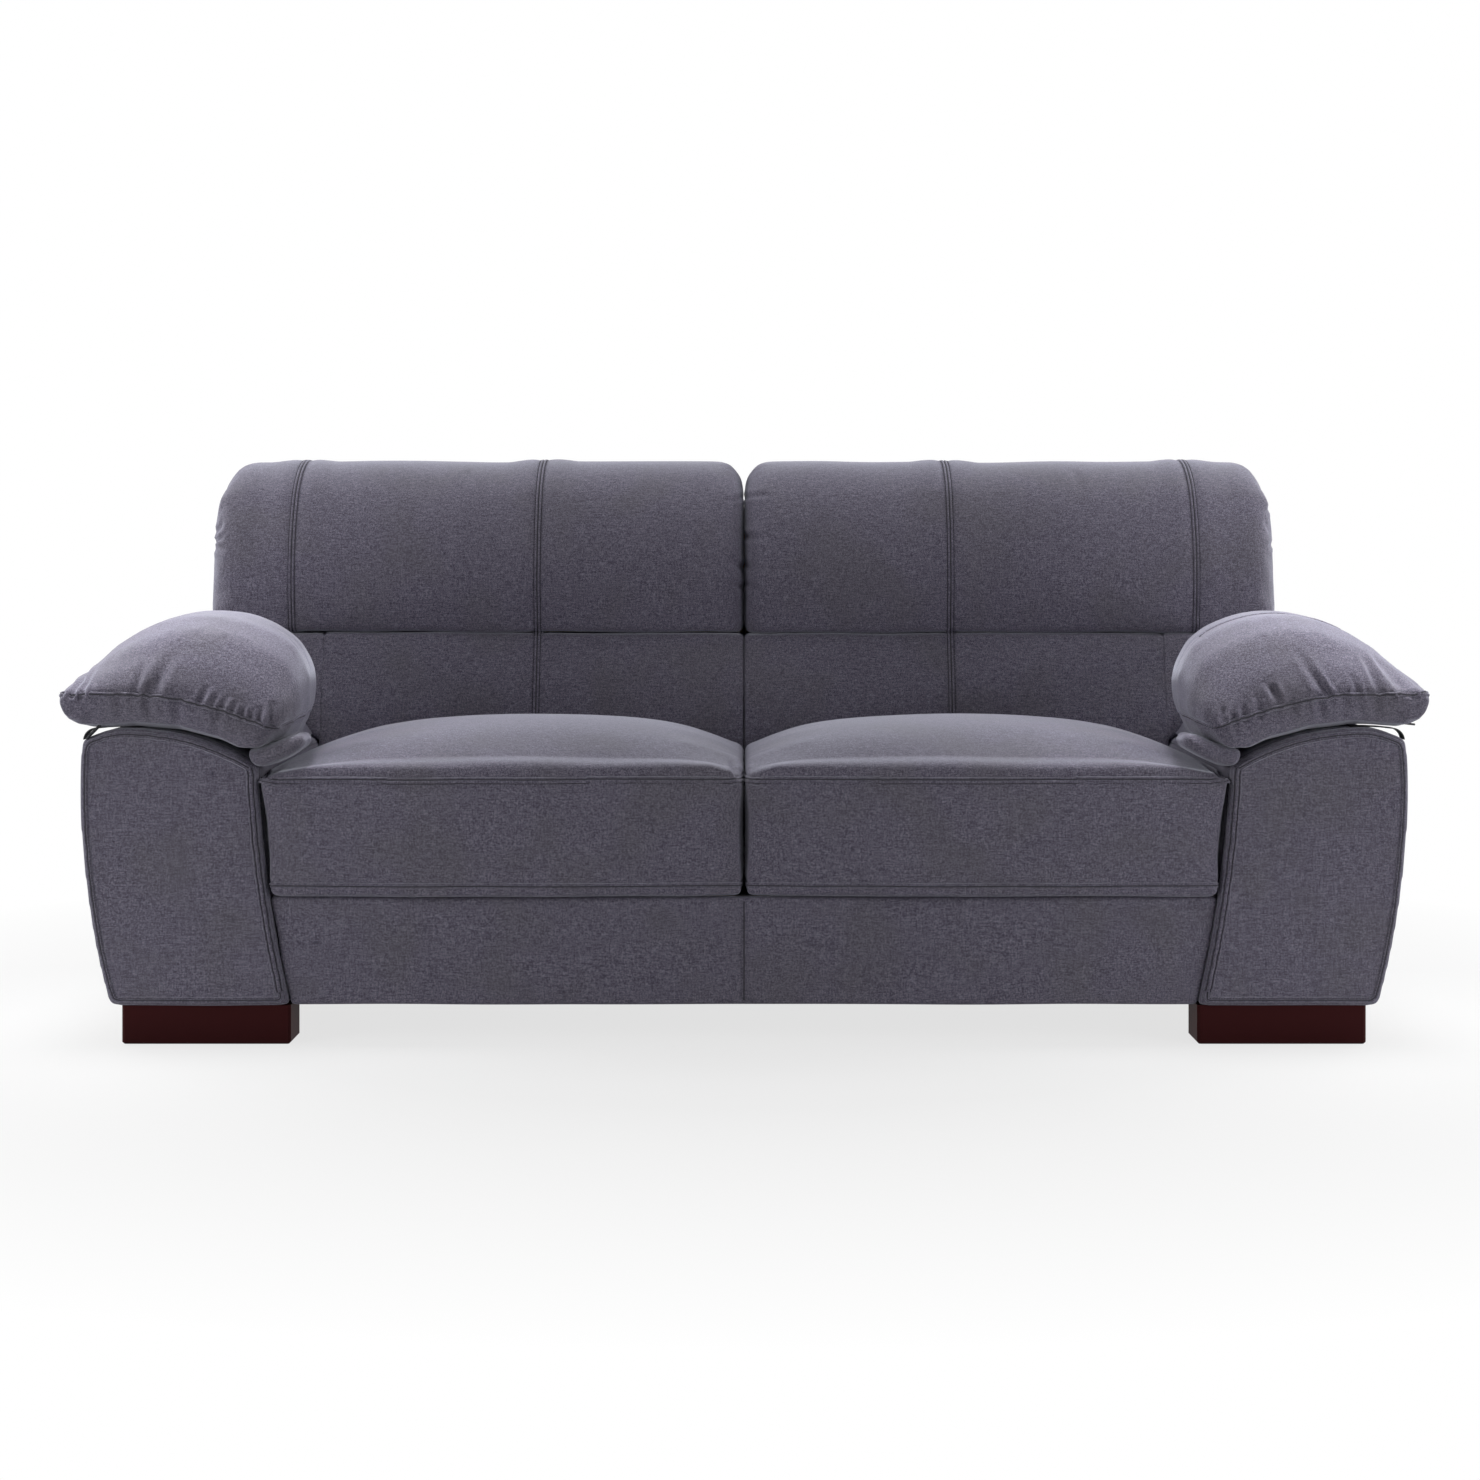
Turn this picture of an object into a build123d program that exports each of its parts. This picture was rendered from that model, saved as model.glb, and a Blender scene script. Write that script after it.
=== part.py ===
from build123d import *
from math import cos, radians, sin
import os

os.makedirs("parts", exist_ok=True)

# A three-seater sofa with two seat cushions and pillow arms, in millimetres.
# +Z is up and the front faces -Y. Left and right are as seen from the front.
# The origin is on the floor, in the middle of the sofa's outer box.

# Driving dimensions
sofa_depth = 930.0  # from the nose of the arm pads to the back of the head pillows
back_height = 935.0  # from the floor to the top of the head pillows
seat_width = 1496.0  # between the arms, at their shoulders
arm_width = 270.0  # at the top of an arm
arm_height = 370.0  # from the feet to the inner shoulder of an arm
base_height = 168.0  # from the feet to the deck under the cushions
cushion_height = 181.0  # boxing of a seat cushion
cushion_crown = 86.0  # rise of a cushion's middle over its front seam
back_depth = 345.0  # from the backs of the seat cushions to the back of the head pillows

# Clearances
seat_gap = 0.3  # between a piece and what it rests on
soft_gap = 3.0  # beside a cushion, so that it slides
sew_gap = 0.5  # between soft pieces that are pressed together
cut_over = 5.0  # how far a cutting shape runs past what it cuts

# Feet
foot_width = 260.0
foot_depth = 85.0
foot_height = 60.0
foot_inset = 17.0  # from the outer lower edge of the arm
foot_setback = 12.0  # from the front and rear faces of the arm
foot_edge = 4.0
foot_bottom_chamfer = 3.0

# Arm outline, seen from the front
outer_lean = 43.0  # the outer wall's top stands this far out from its foot
inner_lean = 51.0
outer_rise = 52.0  # the outer top corner lies this far over the inner shoulder
outer_bulge = 19.0
inner_bulge = 9.5
top_bulge = 25.0
outer_corner = 18.0
lower_corner = 12.0

# Arm construction
pad_overhang = 25.0  # arm pad in front of the arm's face
wall = 12.0  # board, foam and fabric of an arm wall
front_padding = 26.0  # padded panel on the arm's face
front_edge = 8.0
rear_panel = 10.0
arm_rear_inset = 25.0  # from the rearmost point of the sofa
arm_board = 18.0
rail_thick = 25.0
arm_rail_height = 60.0
arm_rail_inset = 48.0
top_rail_drop = 34.0

# Arm pad
pad_outer_reach = 32.0  # past the arm's outer top corner
pad_inner_reach = 70.0  # past the inner shoulder, over the cushion
pad_thick = 186.0  # crest of the pad over the outer top corner
pad_lift = 2.6  # underside over the arm's top wall
pad_seam_rise = 54.0  # front seam over the outer top corner
pad_tip_turn = 104.0  # where the outer end turns into the top, over the outer top corner
pad_tip_round = 26.0
pad_tip_draw = 9.0  # how far the outer end draws in at the nose
pad_lobe_foot = 46.0  # inner end, over the inner shoulder: its lower turn, seam, middle, upper turn
pad_lobe_seam = 64.0
pad_lobe_rise = 118.0
pad_lobe_turn = 192.0
pad_lobe_round = 24.0
pad_lobe_draw = 46.0
pad_tail_rise = 5.0
strap_width = 26.0
strap_thick = 1.6
strap_reach = 80.0
strap_drop = 14.0
strap_place_share = 0.7  # rear strap, along the pad

# Seat frame
dust_thick = 1.2
deck_thick = 1.5
border_padding = 25.0
border_setback = 10.0  # behind the arm's face
border_edge = 7.0
border_seam = 3.0
corner_block = 60.0
corner_block_height = 90.0

# Webbing
strap_web = 50.0
web_thick = 1.5
web_play = 0.3
web_ramp = 18.0
web_edge = 90.0  # first lengthwise strap from the centre rail

# Cushion details
front_swell = 11.0
core_skin = 22.0  # fibre wrap round the foam core
core_edge = 10.0
zip_inset = 64.0  # from the ends of the cushion's back
zip_height = 12.0
zip_thick = 1.6
pull_width = 6.0
pull_drop = 22.0

# Back
rake = 15.0  # how far the back's top stands behind its foot
panel_thick = 4.0  # outside back
post_depth = 40.0
post_width = 45.0
back_rail_height = 80.0
back_top_drop = 87.0  # from the top of the pillows to the top of the frame
lower_rail_height = 400.0
valley_height = 618.0
valley_depth_share = 0.8  # valley seam in front of the rearmost point, of the back's depth
foam_front_share = 0.39  # front of the foam slab in front of the rearmost point
pillow_swell = 30.0  # front bulge over the line from the valley to the shoulder
shoulder_drop = 62.0
shoulder_depth_share = 0.7
nape_drop = 30.0
inner_round = 40.0  # rounded ends of the head pillow
outer_round = 48.0
lumbar_swell = 26.0
lumbar_foot_inset = 8.0  # foot of the lumbar pad behind the seat cushion's clearance
wing_width = 202.0  # how far the back reaches past the inner shoulder
side_panel = 9.0
wing_gap = 2.0
channel_width = 5.0
channel_depth = 3.0
middle_seam = 367.0  # from the middle of the sofa
outer_seam = 803.0
back_strap = 50.0

# Fasteners
bolt = 8.0
bolt_head = 13.0
bolt_head_height = 5.5
bolt_play = 0.4
foot_bolt_grip = 40.0
foot_bolt_spacing = 120.0
frame_bolt_length = 82.0
frame_bolt_rise = 58.0
frame_bolt_spacing = 520.0

# Heights worked out from the driving dimensions
deck_z = foot_height + base_height
seam_z = deck_z + cushion_height
shoulder_z = foot_height + arm_height
outer_top_z = shoulder_z + outer_rise
back_frame_z = back_height - back_top_drop
rail_foot_z = foot_height + dust_thick
rail_top_z = deck_z - seat_gap - deck_thick - 2 * web_thick - web_play

# Places across the sofa, from its middle
shoulder_x = seat_width / 2
outer_top_x = shoulder_x + arm_width
inner_foot_x = shoulder_x - inner_lean
outer_foot_x = outer_top_x - outer_lean
back_x = shoulder_x + wing_width

# Places from front to back
nose_y = -sofa_depth / 2
arm_face_y = nose_y + pad_overhang
arm_wall_y = arm_face_y + front_padding
rear_y = sofa_depth / 2
arm_back_y = rear_y - arm_rear_inset
arm_wall_end_y = arm_back_y - rear_panel
border_y = arm_face_y + border_setback
rail_face_y = border_y + border_padding
seat_back_y = rear_y - back_depth
seat_depth = seat_back_y - arm_face_y
cushion_back_y = seat_back_y + zip_thick + soft_gap

# The outer face of the back leans from its foot to its top.
rake_slope = rake / (back_frame_z - foot_height)


def outside_y(z, depth):
    """Place of a plane inside the raked back, depth in front of its outer face, at height z."""
    return arm_back_y - depth + rake_slope * (z - foot_height)


def raised_middle(start, end, rise):
    """Middle of the chord from start to end, moved to the left of its direction by rise."""
    chord = Vector(*end) - Vector(*start)
    return (Vector(*start) + Vector(*end)) / 2 + Vector(-chord.Y, chord.X) * (rise / chord.length)


def bowed(side, start, end, rise):
    """Arc from start to end in a front view, mirrored to the side that is asked for."""
    middle = raised_middle(start, end, rise)
    ThreePointArc((side * start[0], start[1]), (side * middle.X, middle.Y), (side * end[0], end[1]))


def arc_by(side, start, middle, end):
    """Arc through three points of a front view, mirrored to the side that is asked for."""
    ThreePointArc(*[(side * point[0], point[1]) for point in (start, middle, end)])


def chords_by(side, start, middle, end, count):
    """Chords of an arc through three points of a front view, mirrored to the side asked for."""
    points = [(side * point[0], point[1]) for point in (start, middle, end)]
    arc = ThreePointArc(*points, mode=Mode.PRIVATE)
    Polyline(*[arc @ (step / count) for step in range(count + 1)])


def arm_outline(side):
    """The four walls of an arm, seen from the front."""
    inner_foot = (inner_foot_x, foot_height)
    shoulder = (shoulder_x, shoulder_z)
    outer_top = (outer_top_x, outer_top_z)
    outer_foot = (outer_foot_x, foot_height)
    with BuildSketch() as outline:
        with BuildLine():
            bowed(side, inner_foot, shoulder, -inner_bulge)
            bowed(side, shoulder, outer_top, top_bulge)
            bowed(side, outer_top, outer_foot, outer_bulge)
            Line((side * outer_foot_x, foot_height), (side * inner_foot_x, foot_height))
        make_face()
        corners = outline.vertices()
        fillet(corners.sort_by_distance((side * outer_top_x, outer_top_z))[0], outer_corner)
        low = outline.vertices().group_by(Axis.Y)[0]
        fillet(low, lower_corner)
    return outline.sketch_local


def seat_opening(gap, top):
    """The space between the arms, seen from the front, up to the height top."""
    foot_x = inner_foot_x - gap
    wall_x = shoulder_x - gap
    with BuildSketch() as opening:
        with BuildLine():
            bowed(1, (foot_x, foot_height), (wall_x, shoulder_z), -inner_bulge)
            Line((wall_x, shoulder_z), (wall_x, top))
            Line((wall_x, top), (-wall_x, top))
            Line((-wall_x, top), (-wall_x, shoulder_z))
            bowed(-1, (wall_x, shoulder_z), (foot_x, foot_height), inner_bulge)
            Line((-foot_x, foot_height), (foot_x, foot_height))
        make_face()
    return opening.sketch_local


def write(piece, name):
    piece.part.label = name
    export_step(piece.part, "parts/" + name + ".step")


sides = {"left": -1, "right": 1}
arm_faces = {name: arm_outline(side) for name, side in sides.items()}
arm_heart = ((inner_foot_x + outer_top_x) / 2, (foot_height + shoulder_z) / 2)


def clear_of_arm(name, gap):
    """Cut away what lies in an arm, so that the piece follows the arm's top, a gap above it."""
    with BuildSketch(Plane.XZ.offset(-rear_y - cut_over)) as arm:
        offset(arm_faces[name], amount=gap)
    extrude(arm.sketch, amount=sofa_depth + 2 * cut_over, mode=Mode.SUBTRACT)


# Feet: solid hardwood blocks, bored from above for the two bolts that hold each of them.
foot_x = outer_foot_x - foot_inset - foot_width / 2
foot_rows = {
    "front": arm_face_y + foot_setback + foot_depth / 2,
    "rear": arm_back_y - foot_setback - foot_depth / 2,
}
for row, foot_y in foot_rows.items():
    for name, side in sides.items():
        with BuildPart() as foot:
            with BuildSketch(Plane.XY) as block:
                with Locations((side * foot_x, foot_y)):
                    Rectangle(foot_width, foot_depth)
                chamfer(block.vertices(), foot_edge)
            extrude(amount=foot_height)
            chamfer(foot.faces().sort_by(Axis.Z)[0].edges(), foot_bottom_chamfer)
            with BuildSketch(Plane.XY.offset(foot_height)):
                with Locations((side * foot_x, foot_y)):
                    with GridLocations(foot_bolt_spacing, 0, 2, 1):
                        Circle(bolt / 2 + bolt_play)
            extrude(amount=-foot_bolt_grip - bolt_play, mode=Mode.SUBTRACT)
        write(foot, "foot_" + row + "_" + name)

# Foot bolts: hexagon heads on the arm's base board, shanks down into the feet.
with BuildPart() as foot_bolts:
    for foot_y in foot_rows.values():
        for side in sides.values():
            with BuildSketch(Plane.XY.offset(foot_height + wall + seat_gap)):
                with Locations((side * foot_x, foot_y)):
                    with GridLocations(foot_bolt_spacing, 0, 2, 1):
                        RegularPolygon(bolt_head / 2, 6, major_radius=False)
            extrude(amount=bolt_head_height)
            with BuildSketch(Plane.XY.offset(foot_height - foot_bolt_grip)):
                with Locations((side * foot_x, foot_y)):
                    with GridLocations(foot_bolt_spacing, 0, 2, 1):
                        Circle(bolt / 2)
            extrude(amount=foot_bolt_grip + wall + seat_gap)
write(foot_bolts, "foot_bolts")

# Arm walls: the four sides of a sleeve, parted at mitres through the arm's corners.
far_reach_share = 4.0
wall_corners = {
    "inner_wall": ((inner_foot_x, foot_height), (shoulder_x, shoulder_z)),
    "top_wall": ((shoulder_x, shoulder_z), (outer_top_x, outer_top_z)),
    "outer_wall": ((outer_top_x, outer_top_z), (outer_foot_x, foot_height)),
    "base": ((outer_foot_x, foot_height), (inner_foot_x, foot_height)),
}


def past_corner(side, corner):
    """A point on the line from the arm's heart through a corner, well outside the arm."""
    reach = (Vector(*corner) - Vector(*arm_heart)) * far_reach_share + Vector(*arm_heart)
    return (side * reach.X, reach.Y)


sleeve_length = arm_wall_end_y - arm_wall_y
frame_bolt_z = foot_height + frame_bolt_rise
for name, side in sides.items():
    heart = (side * arm_heart[0], arm_heart[1])
    for wall_name, (first, last) in wall_corners.items():
        with BuildPart() as arm_wall:
            with BuildSketch(Plane.XZ.offset(-arm_wall_y)):
                add(arm_faces[name])
                offset(arm_faces[name], amount=-wall, mode=Mode.SUBTRACT)
                with BuildLine():
                    Polyline(heart, past_corner(side, first), past_corner(side, last), close=True)
                make_face(mode=Mode.INTERSECT)
            extrude(amount=-sleeve_length)
            if wall_name == "inner_wall":
                with BuildSketch(Plane.YZ):
                    with Locations((0, frame_bolt_z)):
                        with GridLocations(frame_bolt_spacing, 0, 2, 1):
                            Circle(bolt / 2 + bolt_play)
                extrude(amount=side * outer_top_x, mode=Mode.SUBTRACT)
            if wall_name == "base":
                with BuildSketch(Plane.XY.offset(foot_height - cut_over)):
                    for foot_y in foot_rows.values():
                        with Locations((side * foot_x, foot_y)):
                            with GridLocations(foot_bolt_spacing, 0, 2, 1):
                                Circle(bolt / 2 + bolt_play)
                extrude(amount=wall + 2 * cut_over, mode=Mode.SUBTRACT)
        write(arm_wall, "arm_" + wall_name + "_" + name)

# Arm face and rear panels: padded boards with the arm's outline.
for name, side in sides.items():
    with BuildPart() as arm_front:
        with BuildSketch(Plane.XZ.offset(-arm_face_y)):
            add(arm_faces[name])
        extrude(amount=seat_gap - front_padding)
        chamfer(arm_front.faces().sort_by(Axis.Y)[0].edges(), front_edge)
    write(arm_front, "arm_front_panel_" + name)

    with BuildPart() as arm_rear:
        with BuildSketch(Plane.XZ.offset(-arm_wall_end_y - seat_gap)):
            add(arm_faces[name])
        extrude(amount=seat_gap - rear_panel)
    write(arm_rear, "arm_rear_panel_" + name)

# Arm frame: a front and a rear board inside the sleeve, and three rails between them.
board_places = {"front": arm_wall_y + seat_gap, "rear": arm_wall_end_y - seat_gap - arm_board}
for name, side in sides.items():
    for end_name, board_y in board_places.items():
        with BuildPart() as board:
            with BuildSketch(Plane.XZ.offset(-board_y)):
                offset(arm_faces[name], amount=-wall - seat_gap)
            extrude(amount=-arm_board)
        write(board, "arm_" + end_name + "_board_" + name)

    base_top_z = foot_height + wall
    inner_rail_x = inner_foot_x + wall + arm_rail_inset - rail_thick / 2
    outer_rail_x = outer_foot_x - wall - arm_rail_inset + rail_thick / 2
    top_rail_x = (shoulder_x + outer_top_x) / 2
    with BuildPart() as arm_rails:
        with BuildSketch(Plane.XZ.offset(-arm_wall_y - seat_gap - arm_board)):
            with Locations((side * inner_rail_x, base_top_z + seat_gap + arm_rail_height / 2)):
                Rectangle(rail_thick, arm_rail_height)
            with Locations((side * outer_rail_x, base_top_z + seat_gap + arm_rail_height / 2)):
                Rectangle(rail_thick, arm_rail_height)
            with Locations((side * top_rail_x, outer_top_z - top_rail_drop - rail_thick / 2)):
                Rectangle(arm_rail_height, rail_thick)
        extrude(amount=-(sleeve_length - 2 * arm_board - 2 * seat_gap))
        with BuildSketch(Plane.YZ):
            with Locations((0, frame_bolt_z)):
                with GridLocations(frame_bolt_spacing, 0, 2, 1):
                    Circle(bolt / 2 + bolt_play)
        extrude(amount=side * (inner_rail_x + rail_thick), mode=Mode.SUBTRACT)
    write(arm_rails, "arm_rails_" + name)

# Arm pads: fibre pillows that lie on the arms, swollen between a thin front seam and the back.
# Their inner ends taper off towards the back. Each row: share of the length, swell under the
# seam, swell over it, how far the ends draw in.
pad_stations_share = (
    (0.0, 0.3, 0.14, 1.0),
    (0.03, 0.8, 0.42, 0.5),
    (0.1, 0.97, 0.76, 0.16),
    (0.22, 1.0, 0.95, 0.0),
    (0.44, 1.0, 1.0, 0.3),
    (0.74, 1.0, 0.95, 0.9),
    (0.94, 0.96, 0.78, 1.4),
    (1.0, 0.85, 0.6, 1.7),
)
crest_chords = 8
turn_chords = 3
foot_chords = 4
pad_tip_x = outer_top_x + pad_outer_reach
pad_lobe_x = shoulder_x - pad_inner_reach
pad_length = cushion_back_y - sew_gap - nose_y
for name, side in sides.items():
    with BuildPart() as pad:
        for along, under, over, draw in pad_stations_share:
            sunk = (1 - under) * pad_seam_rise
            inner_x = pad_lobe_x + draw * pad_lobe_draw
            outer_x = pad_tip_x - draw * pad_tip_draw
            seam_level = outer_top_z + pad_seam_rise
            lobe_level = shoulder_z + pad_lobe_seam
            tail = (shoulder_x, shoulder_z + pad_tail_rise + sunk)
            heel = (outer_top_x - outer_corner, outer_top_z + sunk)
            sole = raised_middle(tail, heel, top_bulge)
            tip = (outer_x, seam_level)
            tip_turn = (outer_x - pad_tip_round, seam_level + over * (pad_tip_turn - pad_seam_rise))
            crest = ((inner_x + outer_x) / 2, seam_level + over * (pad_thick - pad_seam_rise))
            lobe_turn = (inner_x + pad_lobe_round, lobe_level + over * (pad_lobe_turn - pad_lobe_seam))
            lobe = (inner_x, lobe_level + over * (pad_lobe_rise - pad_lobe_seam))
            lobe_foot = (inner_x + pad_lobe_round, lobe_level - under * (pad_lobe_seam - pad_lobe_foot))
            with BuildSketch(Plane.XZ.offset(-nose_y - along * pad_length)):
                with BuildLine():
                    chords_by(side, tail, (sole.X, sole.Y), heel, foot_chords)
                    chords_by(side, heel, tip, tip_turn, 2 * turn_chords)
                    chords_by(side, tip_turn, crest, lobe_turn, crest_chords)
                    chords_by(side, lobe_turn, lobe, lobe_foot, turn_chords)
                    Line((side * lobe_foot[0], lobe_foot[1]), (side * tail[0], tail[1]))
                make_face()
        loft(ruled=True)
        clear_of_arm(name, pad_lift)
    write(pad, "arm_pad_" + name)

# Pad straps: strips that lie on the arm's top and turn down over its outer corner.
with BuildPart() as pad_straps:
    for name, side in sides.items():
        for strap_y in (arm_wall_y, arm_wall_y + pad_length * strap_place_share):
            with BuildSketch(Plane.XZ.offset(-strap_y)):
                offset(arm_faces[name], amount=seat_gap + strap_thick)
                offset(arm_faces[name], amount=seat_gap, mode=Mode.SUBTRACT)
                with Locations((side * outer_top_x, outer_top_z + cut_over)):
                    Rectangle(
                        2 * strap_reach, 2 * (strap_drop + cut_over), mode=Mode.INTERSECT
                    )
            extrude(amount=-strap_width)
write(pad_straps, "pad_straps")

# Seat frame: rails between the arms, a centre rail and corner blocks.
rail_height = rail_top_z - rail_foot_z
rail_middle_z = (rail_top_z + rail_foot_z) / 2
side_rail_x = inner_foot_x - seat_gap
rail_start_y = rail_face_y + rail_thick
rail_end_y = arm_wall_end_y - rail_thick
rail_run = rail_end_y - rail_start_y
for name, rail_y in {"front_rail": rail_face_y, "rear_rail": rail_end_y}.items():
    with BuildPart() as cross_rail:
        with BuildSketch(Plane.XZ.offset(-rail_y)):
            with Locations((0, rail_middle_z)):
                Rectangle(2 * side_rail_x, rail_height)
        extrude(amount=-rail_thick)
    write(cross_rail, name)

for name, side in sides.items():
    with BuildPart() as side_rail:
        with BuildSketch(Plane.XZ.offset(-rail_start_y)):
            with Locations((side * (side_rail_x - rail_thick / 2), rail_middle_z)):
                Rectangle(rail_thick, rail_height)
        extrude(amount=-rail_run)
        with BuildSketch(Plane.YZ):
            with Locations((0, frame_bolt_z)):
                with GridLocations(frame_bolt_spacing, 0, 2, 1):
                    Circle(bolt / 2 + bolt_play)
        extrude(amount=side * (side_rail_x + cut_over), mode=Mode.SUBTRACT)
    write(side_rail, "side_rail_" + name)

with BuildPart() as centre_rail:
    with BuildSketch(Plane.XZ.offset(-rail_start_y)):
        with Locations((0, rail_middle_z)):
            Rectangle(rail_thick, rail_height)
    extrude(amount=-rail_run)
write(centre_rail, "centre_rail")

with BuildPart() as corner_blocks:
    block_x = side_rail_x - rail_thick
    for side in sides.values():
        for corner_y, turn in ((rail_start_y, 1), (rail_end_y, -1)):
            with BuildSketch(Plane.XY.offset(rail_top_z - corner_block_height)):
                with BuildLine():
                    Polyline(
                        (side * block_x, corner_y),
                        (side * (block_x - corner_block), corner_y),
                        (side * block_x, corner_y + turn * corner_block),
                        close=True,
                    )
                make_face()
            extrude(amount=corner_block_height)
write(corner_blocks, "corner_blocks")

# Frame bolts: from inside the seat frame, through the arm's inner wall into its lower rail.
with BuildPart() as frame_bolts:
    for side in sides.values():
        head_x = side_rail_x - rail_thick - seat_gap
        with BuildSketch(Plane.YZ.offset(side * head_x)):
            with Locations((0, frame_bolt_z)):
                with GridLocations(frame_bolt_spacing, 0, 2, 1):
                    RegularPolygon(bolt_head / 2, 6, major_radius=False)
        extrude(amount=-side * bolt_head_height)
        with BuildSketch(Plane.YZ.offset(side * head_x)):
            with Locations((0, frame_bolt_z)):
                with GridLocations(frame_bolt_spacing, 0, 2, 1):
                    Circle(bolt / 2)
        extrude(amount=side * frame_bolt_length)
write(frame_bolts, "frame_bolts")

# Seat webbing: elastic straps woven over and under, laid on the rails' top edges.
lengthwise_per_seat = 4
crosswise_count = 3
web_step = web_thick + web_play
lane_pitch = (block_x - 2 * web_edge) / (lengthwise_per_seat - 1)
lanes = [web_edge + lane_pitch * i for i in range(lengthwise_per_seat)]
lengthwise_x = sorted([-x for x in lanes] + lanes)
cross_pitch = rail_run / (crosswise_count + 1)
crosswise_y = [rail_start_y + cross_pitch * (i + 1) for i in range(crosswise_count)]


def strap_edge(start, end, crossings, first_high):
    """Lower edge of a strap that lies low at its ends and lifts over every other crossing."""
    edge = [(start, rail_top_z)]
    for count, place in enumerate(crossings):
        if (count % 2 == 0) == first_high:
            half = strap_web / 2 + web_play
            edge.append((place - half - web_ramp, rail_top_z))
            edge.append((place - half, rail_top_z + web_step))
            edge.append((place + half, rail_top_z + web_step))
            edge.append((place + half + web_ramp, rail_top_z))
    edge.append((end, rail_top_z))
    return edge


def strap_face(edge):
    upper = [(place, height + web_thick) for place, height in reversed(edge)]
    return Polyline(*edge, *upper, close=True)


with BuildPart() as seat_webbing:
    for row, strap_x in enumerate(lengthwise_x):
        with BuildSketch(Plane.YZ.offset(strap_x - strap_web / 2)):
            with BuildLine():
                strap_face(
                    strap_edge(rail_face_y, arm_wall_end_y, crosswise_y, row % 2 == 0)
                )
            make_face()
        extrude(amount=strap_web)
    for row, strap_y in enumerate(crosswise_y):
        with BuildSketch(Plane.XZ.offset(-strap_y - strap_web / 2)):
            with BuildLine():
                strap_face(
                    strap_edge(-side_rail_x, side_rail_x, lengthwise_x, row % 2 == 1)
                )
            make_face()
        extrude(amount=strap_web)
write(seat_webbing, "seat_webbing")

# Deck cloth over the webbing, the padded front border, and the dust cover below.
with BuildPart() as deck_cloth:
    with BuildSketch(Plane.XZ.offset(-rail_face_y)):
        add(seat_opening(seat_gap, back_height))
        with Locations((0, deck_z - seat_gap - deck_thick / 2)):
            Rectangle(seat_width, deck_thick, mode=Mode.INTERSECT)
    extrude(amount=-(arm_wall_end_y - rail_face_y))
write(deck_cloth, "deck_cloth")

with BuildPart() as front_border:
    with BuildSketch(Plane.XZ.offset(-border_y)):
        add(seat_opening(sew_gap, back_height))
        with Locations((0, foot_height + base_height / 2)):
            Rectangle(seat_width, base_height - 2 * seat_gap, mode=Mode.INTERSECT)
    extrude(amount=seat_gap - border_padding)
    border_face = front_border.faces().sort_by(Axis.Y)[0]
    fillet(border_face.edges().filter_by(Axis.X), border_edge)
    with BuildSketch(Plane.XY.offset(foot_height)):
        with Locations((0, border_y)):
            Rectangle(border_seam, border_seam, rotation=45)
    extrude(amount=base_height, mode=Mode.SUBTRACT)
write(front_border, "front_border")

with BuildPart() as dust_cover:
    with BuildSketch(Plane.XY.offset(foot_height)):
        with Locations((0, (rail_face_y + arm_wall_end_y) / 2)):
            Rectangle(2 * side_rail_x, arm_wall_end_y - rail_face_y)
    extrude(amount=dust_thick)
write(dust_cover, "dust_cover")

# Seat cushions: box cushions, crowned, with sides that follow the arm and are drawn in.
# Each row: share of the depth, share of the crown reached there.
crown_share = (
    (0.0, 0.04),
    (0.08, 0.42),
    (0.2, 0.80),
    (0.36, 0.98),
    (0.52, 1.0),
    (0.68, 0.94),
    (0.84, 0.78),
    (1.0, 0.5),
)
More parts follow.
